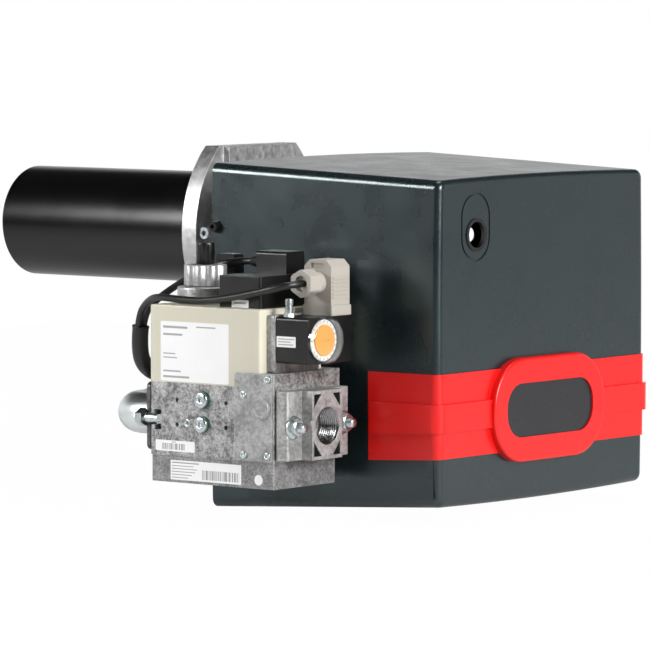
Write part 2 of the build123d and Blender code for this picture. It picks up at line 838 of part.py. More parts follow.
def gas_nozzle():
    """Nozzle head with radial gas holes, behind the diffuser's face."""
    start = diffuser_x - nozzle_length / 2
    end = diffuser_x + nozzle_length / 2
    body = along_x(nozzle_radius, (start, end), 0, 0)
    body = chamfer(body.edges().filter_by(GeomType.CIRCLE).group_by(Axis.X)[0], 3)
    body -= along_x(head_pipe_radius - head_pipe_wall, (start + 4, end + 1), 0, 0)
    for number in range(12):
        drill = Pos(start + 7, 0, 0) * Rot(30 * number, 0, 0) * Pos(0, 0, nozzle_radius / 2 + 4)
        body -= drill * Cylinder(nozzle_hole_radius, nozzle_radius)
    return body


def diffuser_disc():
    """Slotted flame disc with a turned-up rim, carried on the nozzle."""
    disc = ring_x(diffuser_radius, nozzle_radius, (diffuser_x - 1, diffuser_x - 1 + diffuser_thickness))
    rim = ring_x(diffuser_radius, diffuser_radius - 1.5, (diffuser_x - 1, diffuser_x + 8))
    slots = []
    for number in range(diffuser_slot_count):
        slot = Pos(0, 0, (nozzle_radius + diffuser_radius) / 2 + 1) * Box(20, 2.2, 17)
        slots.append(Pos(diffuser_x, 0, 0) * Rot(360 / diffuser_slot_count * number, 0, 0) * slot)
    holes = group(along_x(insulator_radius, (diffuser_x - 5, diffuser_x + 5), y, z)
                  for y, z in insulator_centres())
    return disc + rim - group(slots) - holes


def insulator_centres():
    places = []
    for angle in (75, 105, 285):
        places.append((insulator_pitch * cos(radians(angle)), insulator_pitch * sin(radians(angle))))
    return places


def electrode_insulators():
    """Ceramic tubes of the two ignition electrodes and the flame probe."""
    span = (diffuser_x - 4, diffuser_x - 4 + insulator_length)
    return group(ring_x(insulator_radius, electrode_radius, span, y, z) for y, z in insulator_centres())


def electrode_rods():
    """Metal rods inside the ceramics, standing out towards the flame."""
    rods = []
    for number, (y, z) in enumerate(insulator_centres()):
        tip = -10.0 if number < 2 else -17.0
        rods.append(along_x(electrode_radius, (diffuser_x + tip, diffuser_x + insulator_length + 2), y, z))
    return group(rods)


def electrode_clamp():
    """Clip that holds the ceramics on the head pipe."""
    start = diffuser_x + 40
    clip = along_x(head_pipe_radius + 3, (start, start + 8), 0, 0)
    for y, z in insulator_centres():
        clip += along_x(insulator_radius + 2.5, (start, start + 8), y, z)
    clip += block((start, start + 8), (-4, 4), (-insulator_pitch, insulator_pitch))
    clip -= along_x(head_pipe_radius, (start - 1, start + 9), 0, 0)
    for y, z in insulator_centres():
        clip -= along_x(insulator_radius, (start - 1, start + 9), y, z)
    return clip


# ---------- gas valve ----------
def valve_body():
    """Die-cast double valve with a raised end and notches for the outlet bolts."""
    main = block(valve_x, valve_y, (valve_bottom, valve_top))
    step = block((valve_step_x, valve_x[1]), valve_y, (valve_top, valve_step_top))
    body = main + step
    upright = body.edges().filter_by(Axis.Z).group_by(Axis.X)[0]
    body = fillet(upright, 3)
    for y in stud_centres():
        outside = valve_y[0] - 1 if y < train_y else valve_y[1] + 1
        inside = y + 8 if y < train_y else y - 8
        pocket_y = sorted((outside, inside))
        slot_y = sorted((outside, inside - 3 if y < train_y else inside + 3))
        body -= block((valve_x[0] + notch_wall, valve_x[0] + notch_wall + 8), pocket_y,
                      (train_z - 9, train_z + 9))
        body -= block((valve_x[0] - 1, valve_x[0] + notch_wall + 1), slot_y, (train_z - 5, train_z + 5))
    face = valve_y[0]
    for x in plug_hole_x:
        for z in plug_hole_z:
            body -= along_y(plug_hole_radius, (face - 1, face + 5), x, z)
    body -= along_y(test_socket_radius, (face - 1, face + 4), *test_socket_place)
    for x, z in pad_places:
        body += block((x - pad_size[0] / 2, x + pad_size[0] / 2), (face - pad_height, face + 1),
                      (z - pad_size[1] / 2, z + pad_size[1] / 2))
    body += block(spine_x, (face - pad_height, face + 1), spine_z)
    body -= along_x(inlet_bore_radius - 3.5, (valve_x[1] - 40, valve_x[1] + 1), train_y, train_z)
    body -= stud_holes(valve_x[1] - 12, valve_x[1] + 1)
    return body


def stud_centres():
    return (train_y - stud_near, train_y + stud_far)


def stud_holes(start, end):
    return group(along_x(stud_radius, (start, end), y, train_z) for y in stud_centres())


def base_cover():
    cover = block((valve_x[0] + 1, valve_x[1] - 1), base_cover_y, (base_cover_bottom, valve_bottom))
    return fillet(cover.edges().filter_by(Axis.Z), 2)


def regulator_plate():
    """Cover of the governor on the valve's front, slightly proud."""
    plate = block((regulator_x, valve_x[1] - 0.5), (valve_y[0] - regulator_proud, valve_y[0]),
                  (valve_bottom + 1, valve_step_top - 0.5))
    return fillet(plate.edges().filter_by(Axis.Y), 1.5)


def regulator_screws():
    """Star-socket screws of the governor's cover."""
    screws = []
    face = valve_y[0] - regulator_proud
    for x, z in regulator_screw_places:
        head = along_y(regulator_screw_radius, (face - 1.8, face), x, z)
        screws.append(head - along_y(1.5, (face - 2, face - 0.6), x, z))
    return group(screws)


def regulator_cap():
    """Round screwed cap of the governor."""
    face = valve_y[0] - regulator_proud
    cap = along_y(regulator_cap_radius, (face - 3.2, face), *regulator_cap_place)
    cap = fillet(cap.edges().filter_by(GeomType.CIRCLE).group_by(Axis.Y)[0], 1.2)
    return cap - along_y(regulator_cap_radius - 2.4, (face - 4, face - 2.4), *regulator_cap_place)


def test_screws():
    """Two pressure-tapping screws with slotted pan heads."""
    screws = []
    for x, z in test_screw_places:
        head = along_y(test_screw_radius, (valve_y[0] - 5.2, valve_y[0] - 1.4), x, z)
        head = fillet(head.edges().filter_by(GeomType.CIRCLE).group_by(Axis.Y)[0], 1.6)
        slot = block((x - 7, x + 7), (valve_y[0] - 6, valve_y[0] - 3.9), (z - 0.7, z + 0.7))
        washer = along_y(test_screw_radius + 1, (valve_y[0] - 1.4, valve_y[0]), x, z)
        screws.append(head - slot + washer)
    return group(screws)


def coil_housing():
    """Moulded block over both coils, stepped over the valve's raised end."""
    x0, x1 = valve_x[0], coil_right
    outline = Polyline((x0, valve_top), (valve_step_x, valve_top), (valve_step_x, valve_step_top),
                       (x1, valve_step_top), (x1, coil_top), (x0, coil_top), close=True)
    body = prism_y(make_face(outline.edges()), coil_y)
    upright = body.edges().filter_by(Axis.Z)
    corners = upright.group_by(Axis.X)[0] + upright.group_by(Axis.X)[-1]
    body = fillet(corners, coil_edge_radius)
    body = fillet(body.faces().sort_by(Axis.Z)[-1].edges(), 1.2)
    for x in armature_x:
        body -= along_z(armature_radius + running_fit, armature_pocket(), x, train_y)
    return body


def armature_pocket():
    return (valve_top - 1, valve_top + armature_length + armature_travel + 2)


def armature(x):
    """Plunger of one coil: closed at rest, lifted when the coil is live."""
    core = along_z(armature_radius, (valve_top + 0.1, valve_top + 0.1 + armature_length), x, train_y)
    top = core.edges().filter_by(GeomType.CIRCLE).group_by(Axis.Z)[-1]
    return chamfer(top, 1)


# ---------- inlet and outlet ----------
def inlet_flange():
    """Casting between valve and supply pipe: square nose with four pockets, ears for two studs."""
    start, end = valve_x[1], inlet_end
    y_span = (train_y - inlet_half_width, train_y + inlet_half_width)
    ears = (stud_centres()[0] - stud_ear, stud_centres()[1] + stud_ear)
    foot = block((start, start + inlet_foot_thickness), ears, inlet_z)
    foot = fillet(foot.edges().filter_by(Axis.Z), 3)
    body = foot + block((start + 1, end), y_span, inlet_z)
    middle_z = sum(inlet_z) / 2
    pocket_depth = 6.0
    corner_y = inlet_half_width - 2.4
    corner_z = (inlet_z[1] - inlet_z[0]) / 2 - 3.0
    triangle = Polygon((0, 0), (-11, 0), (0, -13), align=None)
    for side_y, side_z in ((1, 1), (-1, 1), (1, -1), (-1, -1)):
        shape = mirror_triangle(triangle, side_y, side_z)
        plane = Plane.YZ.offset(end - pocket_depth)
        place = Pos(train_y + side_y * corner_y, middle_z + side_z * corner_z)
        body -= extrude(plane * place * shape, pocket_depth + 1)
    body -= along_x(inlet_bore_radius, (end - inlet_thread_length, end + 1), train_y, train_z)
    body -= along_x(inlet_bore_radius - 3.5, (start - 1, end), train_y, train_z)
    body -= stud_holes(start - 1, start + inlet_foot_thickness + 1)
    return body


def mirror_triangle(triangle, side_y, side_z):
    """The corner pocket's triangle, turned into one of the four corners."""
    shape = triangle
    if side_y < 0:
        shape = mirror(shape, Plane.YZ)
    if side_z < 0:
        shape = mirror(shape, Plane.XZ)
    return shape


def inlet_studs():
    """Two studs with flanged nuts, one at each side of the gas line."""
    studs = []
    seat = valve_x[1] + inlet_foot_thickness
    for y in stud_centres():
        stud = along_x(stud_radius, (valve_x[1] - 12, stud_end), y, train_z)
        stud = chamfer(stud.edges().filter_by(GeomType.CIRCLE).group_by(Axis.X)[-1], 1)
        washer = along_x(nut_flange_radius, (seat, seat + nut_flange_height), y, train_z)
        nut = Plane((seat, y, train_z), z_dir=(1, 0, 0)) * hexagon(nut_flats, nut_height)
        studs.append(stud + washer + nut)
    return group(studs)


def outlet_flange():
    """Oval plate with a hub on the valve's outlet."""
    start, end = outlet_flange_x
    plate = block((start, end), (stud_centres()[0] + 1.5, stud_centres()[1] - 1.5), inlet_z)
    plate = fillet(plate.edges().filter_by(Axis.X), 5)
    hub = along_x(outlet_hub_radius, (end, valve_x[0]), train_y, train_z)
    body = plate + hub - along_x(pipe_bore, (start - 1, valve_x[0] + 1), train_y, train_z)
    for y in stud_centres():
        outside = y - 10 if y < train_y else y + 10
        body -= along_x(stud_radius, (start - 1, end + 1), y, train_z)
        body -= block((start - 1, end + 1), sorted((y, outside)), (train_z - stud_radius, train_z + stud_radius))
    return body


def outlet_bolts():
    """Studs through the outlet flange, with one nut outside and one in the valve's notch."""
    bolts = []
    start = outlet_flange_x[0]
    seat = valve_x[0] + notch_wall
    for y in stud_centres():
        outer_nut = Plane((start, y, train_z), z_dir=(-1, 0, 0)) * hexagon(nut_flats, nut_height)
        inner_nut = Plane((seat, y, train_z), z_dir=(1, 0, 0)) * hexagon(nut_flats, nut_height)
        shank = along_x(stud_radius, (start - nut_height - 3, seat + nut_height), y, train_z)
        bolts.append(outer_nut + inner_nut + shank)
    return bolts


def bent_tube(points, radius, bore, bend):
    """A round tube along straight runs with one bend radius."""
    line = FilletPolyline(*points, radius=bend)
    start = Plane(line @ 0, z_dir=line % 0)
    return sweep(start * (Circle(radius) - Circle(bore)), path=line)


def outlet_elbow():
    """Malleable elbow from the outlet flange to the cross pipe, with beaded ends."""
    start_x = outlet_flange_x[0]
    end_y = train_y + elbow_bend + 22
    points = ((start_x, train_y, train_z), (pipe_x, train_y, train_z), (pipe_x, end_y, train_z))
    body = bent_tube(points, elbow_radius, pipe_bore, elbow_bend)
    body += ring_x(bead_radius, elbow_radius, (start_x - bead_length, start_x), train_y, train_z)
    bead = along_y(bead_radius, (end_y - bead_length, end_y), pipe_x, train_z)
    return body + (bead - along_y(elbow_radius, (end_y - bead_length, end_y), pipe_x, train_z))


def riser_elbow():
    """Elbow that turns the cross pipe up to the neck's gas port."""
    start_y = -elbow_bend - 22
    end_z = train_z + elbow_bend + 22
    points = ((pipe_x, start_y, train_z), (pipe_x, 0, train_z), (pipe_x, 0, end_z))
    body = bent_tube(points, elbow_radius, pipe_bore, elbow_bend)
    bead = along_y(bead_radius, (start_y, start_y + bead_length), pipe_x, train_z)
    body += bead - along_y(elbow_radius, (start_y, start_y + bead_length), pipe_x, train_z)
    top = along_z(bead_radius, (end_z - bead_length, end_z), pipe_x, 0)
    return body + (top - along_z(elbow_radius, (end_z - bead_length, end_z), pipe_x, 0))


def gas_pipe():
    """Straight cross pipe between the two elbows, and the short nipple under the neck."""
    start_y = train_y + elbow_bend + 22
    end_y = -elbow_bend - 22
    pipe = along_y(pipe_radius, (start_y, end_y), pipe_x, train_z)
    pipe -= along_y(pipe_bore, (start_y, end_y), pipe_x, train_z)
    nipple_span = (train_z + elbow_bend + 22, gas_port_bottom)
    nipple = along_z(pipe_radius, nipple_span, pipe_x, 0) - along_z(pipe_bore, nipple_span, pipe_x, 0)
    return group((pipe, nipple))


# ---------- brake, tester, pressure switch, plug ----------
def brake_top():
    return coil_top + brake_height


def brake_base():
    """Round foot of the hydraulic brake with its spindle."""
    foot = along_z(brake_radius, (coil_top, brake_top()), brake_x, brake_y)
    foot = fillet(foot.edges().filter_by(GeomType.CIRCLE).group_by(Axis.Z)[-1], 1.5)
    return foot + along_z(spindle_radius, (brake_top() - 1, brake_top() + knob_height + 5), brake_x, brake_y)


def flow_knob():
    """Fluted adjusting knob: scallops cut around a turned blank."""
    bottom = brake_top() + free_gap
    blank = along_z(knob_radius, (bottom, bottom + knob_height), brake_x, brake_y)
    blank = chamfer(blank.edges().filter_by(GeomType.CIRCLE).group_by(Axis.Z)[-1], 1.2)
    for number in range(knob_flutes):
        angle = radians(360 / knob_flutes * number)
        x = brake_x + (knob_radius + 0.6) * cos(angle)
        y = brake_y + (knob_radius + 0.6) * sin(angle)
        blank -= along_z(knob_flute_radius, (bottom + 3, bottom + knob_height + 1), x, y)
    return blank - along_z(spindle_radius + running_fit, (bottom - 1, bottom + knob_height + 1),
                           brake_x, brake_y)


def brake_cap():
    bottom = brake_top() + knob_height + 2 * free_gap
    cap = along_z(cap_radius, (bottom, bottom + cap_height), brake_x, brake_y)
    cap = fillet(cap.edges().filter_by(GeomType.CIRCLE).group_by(Axis.Z)[-1], 1.2)
    for number in range(8):
        angle = radians(45 * number)
        groove_x = brake_x + cap_radius * cos(angle)
        groove_y_place = brake_y + cap_radius * sin(angle)
        cap -= along_z(0.8, (bottom - 1, bottom + cap_height - 4), groove_x, groove_y_place)
    return cap - along_z(spindle_radius + running_fit, (bottom - 1, bottom + 5), brake_x, brake_y)


def leak_tester():
    """Valve-proving unit on the coil block."""
    box = block(tester_x, tester_y, (coil_top, tester_top))
    box = fillet(box.edges().filter_by(Axis.Z), 2)
    return fillet(box.faces().sort_by(Axis.Z)[-1].edges(), 0.8)


def tester_plug():
    """Flat plug on the tester with a tapered cable outlet towards the flange."""
    body = block(tester_plug_x, tester_plug_y, (tester_top, tester_plug_top))
    body = fillet(body.edges().filter_by(Axis.X).group_by(Axis.Z)[-1], 3)
    y = sum(tester_plug_y) / 2
    z = tester_plug_outlet()
    cone = Pos(tester_plug_x[0] - 7, y, z) * Rot(0, 90, 0) * Cone(cable_radius + 1.2, 7.5, 14)
    return body + cone - along_x(cable_radius, (tester_plug_x[0] - 20, tester_plug_x[0] - 4), y, z)


def tester_plug_outlet():
    return tester_top + 9.0


def coil_socket():
    """Small connector block behind the knob."""
    body = block(socket_x, socket_y, (coil_top, socket_top))
    body = fillet(body.edges().filter_by(Axis.Y).group_by(Axis.Z)[-1], 4)
    return body


def switch_adapter():
    """Metal side plate that carries the pressure switch."""
    plate = block((coil_right, coil_right + adapter_thickness), (switch_y[0] - 1, switch_y[1]),
                  (valve_step_top, switch_z[1] + 1))
    return fillet(plate.edges().filter_by(Axis.X), 2)


def pressure_switch():
    """Black switch body with a pocket for the dial's spindle."""
    body = block(switch_x, switch_y, switch_z)
    body = fillet(body.edges().filter_by(Axis.X), 3)
    return body - along_x(3 + running_fit, (switch_x[1] - 5, switch_x[1] + 1), cover_y, cover_z)


def dial_cover():
    """Clear round cover over the setting dial."""
    start = switch_x[1]
    cover = along_x(cover_radius, (start, start + cover_depth), cover_y, cover_z)
    cover = fillet(cover.edges().filter_by(GeomType.CIRCLE).group_by(Axis.X)[-1], 1.5)
    return cover - along_x(cover_radius - 1.6, (start - 1, start + cover_depth - 1.6), cover_y, cover_z)


def pressure_dial():
    """Setting dial with a screwdriver slot."""
    start = switch_x[1] + free_gap
    dial = along_x(dial_radius, (start, start + dial_thickness), cover_y, cover_z)
    spindle = along_x(3, (start - 4.5, start + 1), cover_y, cover_z)
    slot = block((start + dial_thickness - 1, start + dial_thickness + 1), (cover_y - 5, cover_y + 5),
                 (cover_z - 0.6, cover_z + 0.6))
    return dial + spindle - slot


def test_nipple():
    """Pressure test nipple on the switch."""
    z0 = switch_z[1]
    stem = along_z(nipple_radius, (z0, z0 + nipple_height), nipple_x, nipple_y)
    stem = fillet(stem.edges().filter_by(GeomType.CIRCLE).group_by(Axis.Z)[-1], 1.2)
    foot = Plane((nipple_x, nipple_y, z0), z_dir=(0, 0, 1)) * hexagon(9.0, 3.0)
    waist = along_z(nipple_radius + 2, (z0 + 8.5, z0 + 10), nipple_x, nipple_y)
    waist -= along_z(nipple_radius - 0.7, (z0 + 8, z0 + 11), nipple_x, nipple_y)
    return stem + foot - waist


def valve_plug():
    """Grey appliance plug: base, tall body with a sloped top, ribs and a window."""
    base_z = switch_z[1]
    base = block((plug_x[0] - 2, plug_x[1] + 2), (plug_y[0] - 1, plug_y[1] + 1),
                 (base_z, base_z + plug_base_height))
    base = fillet(base.edges().filter_by(Axis.Z), 2)
    body = block(plug_x, plug_y, (base_z + plug_base_height, plug_top))
    top = body.edges().filter_by(Axis.Y).group_by(Axis.Z)[-1]
    body = chamfer(top, 6)
    pitch = 3.4
    for number in range(plug_rib_count):
        z = base_z + plug_base_height + 6 + number * pitch
        body += block((plug_x[1], plug_x[1] + 0.8), (plug_y[0] + 2, plug_y[1] - 2), (z, z + 1.6))
    window = block((plug_x[0] + 7, plug_x[1] - 9), (plug_y[0] - 1, plug_y[0] + 2),
                   (plug_top - 7, plug_top - 3))
    return base + body - window


def cable_gland():
    """Hexagon gland nut with its collar, bored for the cable."""
    face = plug_y[0]
    collar = along_y(9.5, (face - 8, face), gland_x, gland_z)
    plane = Plane((gland_x, face - 8, gland_z), z_dir=(0, -1, 0))
    nut = plane * hexagon(gland_flats, gland_length - 8)
    nut &= along_y(gland_flats / 2 + 1.2, (face - gland_length, face - 8), gland_x, gland_z)
    mouth = along_y(7.0, (face - gland_length - 1, face - gland_length + 4), gland_x, gland_z)
    bore = along_y(cable_radius, (face - gland_length, face - 4), gland_x, gland_z)
    return collar + nut - mouth - bore


# ---------- cables ----------
def corner_radii(points):
    """The largest arc that each corner's two runs allow, by the shorter run."""
    radii = []
    for before, corner, after in zip(points, points[1:], points[2:]):
        first = Vector(*corner) - Vector(*before)
        second = Vector(*after) - Vector(*corner)
        turn = radians(first.get_angle(second))
        radii.append(0.45 * min(first.length, second.length) / tan(turn / 2))
    return radii


def cord(name, points, radius, inner=0.0):
    """A cable along straight runs joined by tangent arcs."""
    radii = corner_radii(points)
    line = FilletPolyline(*points, radius=radii)
    section = Circle(radius)
    if inner:
        section -= Circle(inner)
    solid = sweep(Plane(line @ 0, z_dir=line % 0) * section, path=line)
    expected = pi * (radius ** 2 - inner ** 2) * line.length
    print(name, "radii", [round(value, 1) for value in radii], "length", round(line.length, 1),
          "volume share", round(solid.volume / expected, 4))
    return solid


# supply cable: out of the gland, over the coil block's front edge, into the sleeve
supply_route = ((gland_x, plug_y[0] - gland_length + 4, gland_z), (gland_x, -263.5, gland_z),
                (251.0, -271.0, -33.5), (221.0, -271.5, -40.0), (189.0, -271.0, -45.5),
                (161.0, -269.0, -47.4), (134.0, -266.0, -46.6), (110.5, -260.0, -46.2),
                (93.0, -251.5, -52.0), (78.4, -245.6, -64.5), (74.6, -243.4, -86.8))
# tester cable: out of the tester's plug, between knob and socket, into the sleeve
tester_outlet = (tester_plug_x[0] - 4, sum(tester_plug_y) / 2, tester_plug_outlet())
tester_route = (tester_outlet, (168.0, tester_outlet[1], tester_outlet[2]), (144.0, -207.2, -17.5),
                (120.0, -211.5, -26.0), (101.0, -221.0, -39.0), (87.0, -231.5, -51.5),
                (78.4, -238.9, -64.5), (74.6, -236.7, -86.8))
# sleeve: from its mouth down and back to the front plate
sleeve_route = ((76.5, -240.8, -75.5), (73.0, -239.6, -98.0), (75.0, -231.0, -115.0),
                (80.0, -210.0, -121.5), (83.0, -184.0, -121.0), (87.0, -159.0, -117.5),
                (95.5, -141.0, -112.0), (plate_front, -141.0, -112.0))


def main():
    os.makedirs("parts", exist_ok=True)
    save("mounting_flange", mounting_flange())
    save("clamp_screw", clamp_screw())
    save("blast_tube", blast_tube())
    save("neck_casting", neck_casting())
    save("hexagon_bolts", group(neck_bolts() + outlet_bolts()))
    save("hood", hood())
    save("red_band", red_band())
    save("badge_panel", badge_panel())
    save("reset_bezel", reset_bezel())
    save("front_plate", front_plate())
    save("hood_screws", hood_screws())
    save("fan_volute", fan_volute() + inlet_ring())
    save("fan_wheel", fan_wheel())
    save("motor_shaft", motor_shaft())
    save("motor_housing", motor_housing())
    save("motor_cover", motor_cover())
    save("capacitor", capacitor())
    save("ignition_transformer", ignition_transformer())
    save("air_box", air_box())
    save("damper_flap", damper_flap())
    save("damper_lever", damper_lever())
    save("control_box", control_box())
    save("control_bracket", control_bracket())
    save("reset_button", reset_button())
    save("air_pressure_switch", air_pressure_switch())
    save("head_elbow", head_elbow())
    save("head_pipe", head_pipe() + electrode_clamp())
    save("gas_nozzle", gas_nozzle())
    save("diffuser_disc", diffuser_disc())
    save("electrode_insulators", electrode_insulators())
    save("electrode_rods", electrode_rods())
    save("valve_body", valve_body())
    save("base_cover", base_cover())
    save("regulator_plate", regulator_plate() + regulator_cap())
    save("regulator_screws", regulator_screws())
    save("test_screws", test_screws())
    save("coil_housing", coil_housing())
    for number, x in enumerate(armature_x, start=1):
        save(f"armature_{number}", armature(x))
    save("inlet_flange", inlet_flange())
    save("inlet_studs", inlet_studs())
    save("outlet_flange", outlet_flange())
    save("pipe_elbows", group((outlet_elbow(), riser_elbow())))
    save("gas_pipe", gas_pipe())
    save("brake_base", brake_base())
    save("flow_knob", flow_knob())
    save("brake_cap", brake_cap())
    save("leak_tester", leak_tester())
    save("tester_plug", tester_plug())
    save("coil_socket", coil_socket())
    save("switch_adapter", switch_adapter())
    save("pressure_switch", pressure_switch())
    save("dial_cover", dial_cover())
    save("pressure_dial", pressure_dial())
    save("test_nipple", test_nipple())
    save("valve_plug", valve_plug())
    save("cable_gland", cable_gland())
    save("supply_cable", cord("supply_cable", supply_route, cable_radius))
    save("tester_cable", cord("tester_cable", tester_route, cable_radius))
    save("cable_sleeve", cord("cable_sleeve", sleeve_route, sleeve_radius, sleeve_radius - sleeve_wall))


if __name__ == "__main__":
    main()
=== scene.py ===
import bpy
import numpy as np
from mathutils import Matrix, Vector


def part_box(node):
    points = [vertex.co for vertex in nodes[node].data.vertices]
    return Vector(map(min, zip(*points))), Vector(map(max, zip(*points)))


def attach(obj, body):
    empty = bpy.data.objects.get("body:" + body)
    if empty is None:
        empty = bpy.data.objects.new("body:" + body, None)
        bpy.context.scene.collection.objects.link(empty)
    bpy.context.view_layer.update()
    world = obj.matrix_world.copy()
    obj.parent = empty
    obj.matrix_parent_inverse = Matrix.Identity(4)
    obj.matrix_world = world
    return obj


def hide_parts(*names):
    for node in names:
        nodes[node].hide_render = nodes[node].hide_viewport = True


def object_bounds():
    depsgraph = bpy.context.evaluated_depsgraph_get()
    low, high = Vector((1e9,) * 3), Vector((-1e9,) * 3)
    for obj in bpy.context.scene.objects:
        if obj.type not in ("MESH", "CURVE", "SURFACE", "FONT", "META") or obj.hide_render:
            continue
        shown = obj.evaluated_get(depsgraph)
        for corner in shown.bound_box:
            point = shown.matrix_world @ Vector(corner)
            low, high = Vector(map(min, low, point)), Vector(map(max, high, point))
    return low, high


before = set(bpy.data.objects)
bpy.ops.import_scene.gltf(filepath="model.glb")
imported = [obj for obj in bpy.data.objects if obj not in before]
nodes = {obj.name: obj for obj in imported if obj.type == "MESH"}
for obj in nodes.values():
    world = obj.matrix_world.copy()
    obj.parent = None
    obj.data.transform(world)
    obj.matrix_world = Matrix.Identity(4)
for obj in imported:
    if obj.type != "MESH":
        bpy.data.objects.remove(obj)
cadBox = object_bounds()
mm = 0.001
twoPi = 2 * np.pi


# places in millimetres that several pieces share: the gas line's middle and the valve's front face
gasLine = (-232, -154)
valveFront = -275.0


# meshes from whole arrays

def meshPiece(name, points, faces, smooth=True):
    # points (n, 3) in metres, faces a list of index arrays of equal width
    mesh = bpy.data.meshes.new(name)
    loops = np.concatenate([block.ravel() for block in faces]).astype(np.int32)
    widths = np.concatenate([np.full(len(block), block.shape[1]) for block in faces]).astype(np.int32)
    mesh.vertices.add(len(points))
    mesh.vertices.foreach_set("co", np.asarray(points, np.float32).ravel())
    mesh.loops.add(len(loops))
    mesh.loops.foreach_set("vertex_index", loops)
    mesh.polygons.add(len(widths))
    mesh.polygons.foreach_set("loop_start", np.concatenate([[0], np.cumsum(widths)[:-1]]).astype(np.int32))
    mesh.polygons.foreach_set("use_smooth", np.full(len(widths), smooth))
    mesh.update(calc_edges=True)
    mesh.validate()
    piece = bpy.data.objects.new(name, mesh)
    bpy.context.scene.collection.objects.link(piece)
    return piece


def quads(rows, columns, wrapRows, wrapColumns, start=0):
    # quads of a grid numbered row by row; a wrapped direction joins its last line to its first
    i = np.arange(rows if wrapRows else rows - 1)
    j = np.arange(columns if wrapColumns else columns - 1)
    i, j = np.meshgrid(i, j, indexing="ij")
    nextI, nextJ = (i + 1) % rows, (j + 1) % columns
    corners = [i * columns + j, i * columns + nextJ, nextI * columns + nextJ, nextI * columns + j]
    return np.stack(corners, -1).reshape(-1, 4) + start


def ringGrid(name, grid, wrapRows=False, smooth=True):
    # grid (rows, columns, 3): every row is a closed ring; ends that don't wrap close on a middle point
    rows, columns = grid.shape[:2]
    points = grid.reshape(-1, 3)
    faces = [quads(rows, columns, wrapRows, True)]
    if not wrapRows:
        around = np.arange(columns)
        after = (around + 1) % columns
        first, last = len(points), len(points) + 1
        points = np.concatenate([points, [grid[0].mean(0), grid[-1].mean(0)]])
        faces.append(np.stack([np.full(columns, first), after, around], -1))
        top = (rows - 1) * columns
        faces.append(np.stack([np.full(columns, last), top + around, top + after], -1))
    return meshPiece(name, points, faces, smooth)


def ringAngle(steps):
    return np.arange(steps) / steps * twoPi


def polar(name, rings, centre, axis, steps=72, closed=False, turn=0.0, smooth=True):
    # rings of (radius, height), numbers or arrays over the angle a:
    # point = centre + r cos(a + turn) * side + r sin(a + turn) * other + h * axis
    along = np.array(axis, float)
    side = np.cross(along, (0, 0, 1) if abs(along[2]) < 0.9 else (1, 0, 0))
    side /= np.linalg.norm(side)
    other = np.cross(along, side)
    angle = ringAngle(steps) + turn
    ring = np.cos(angle)[:, None] * side + np.sin(angle)[:, None] * other
    grid = np.stack([np.asarray(centre) + np.reshape(radius, (-1, 1)) * mm * ring
                     + np.reshape(height, (-1, 1)) * mm * along for radius, height in rings])
    return ringGrid(name, grid, wrapRows=closed, smooth=smooth)


def roundedOutline(width, height, corner, steps=8):
    # four quarter arcs about the corner centres, going round once
    quarter = np.arange(steps + 1) / steps * np.pi / 2
    angle = (np.arange(4)[:, None] * np.pi / 2 + quarter).ravel()
    signX = np.repeat([1, -1, -1, 1], steps + 1)
    signY = np.repeat([1, 1, -1, -1], steps + 1)
    x = signX * (width / 2 - corner) + corner * np.cos(angle)
    y = signY * (height / 2 - corner) + corner * np.sin(angle)
    return np.stack([x, y], -1)


def slab(name, outline, centre, right, up, thickness):
    # an outline carried along its normal by the thickness
    right, up = np.array(right, float), np.array(up, float)
    normal = np.cross(right, up)
    grid = np.stack([np.asarray(centre) + outline[:, :1] * right + outline[:, 1:] * up + rise * normal
                     for rise in (0.0, thickness)])
    return ringGrid(name, grid, smooth=False)


# camera, first of all
cameraView = dict(place=(3.10405, -3.8045, 0.2617), look=(-0.6185, 0.7825, -0.0717), sensor=36.0, lens=289.26)


def makeCamera():
    data = bpy.data.cameras.new("camera")
    data.sensor_width = cameraView["sensor"]
    data.lens = cameraView["lens"]
    data.clip_end = 50
    camera = bpy.data.objects.new("camera", data)
    camera.location = cameraView["place"]
    camera.rotation_euler = Vector(cameraView["look"]).to_track_quat("-Z", "Y").to_euler()
    bpy.context.scene.collection.objects.link(camera)
    bpy.context.scene.camera = camera


makeCamera()
print("camera set")


# shader maths
class Num:
    def __init__(self, surface, socket):
        self.surface = surface
        self.socket = socket

    def join(self, operation, first, second):
        node = self.surface.add("ShaderNodeMath", {"operation": operation}, {0: first, 1: second})
        return Num(self.surface, node.outputs[0])

    def __add__(self, other):
        return self.join("ADD", self, other)

    def __radd__(self, other):
        return self.join("ADD", other, self)

    def __sub__(self, other):
        return self.join("SUBTRACT", self, other)

    def __rsub__(self, other):
        return self.join("SUBTRACT", other, self)

    def __mul__(self, other):
        return self.join("MULTIPLY", self, other)

    def __rmul__(self, other):
        return self.join("MULTIPLY", other, self)

    def __gt__(self, other):
        return self.join("GREATER_THAN", self, other)

    def __lt__(self, other):
        return self.join("LESS_THAN", self, other)


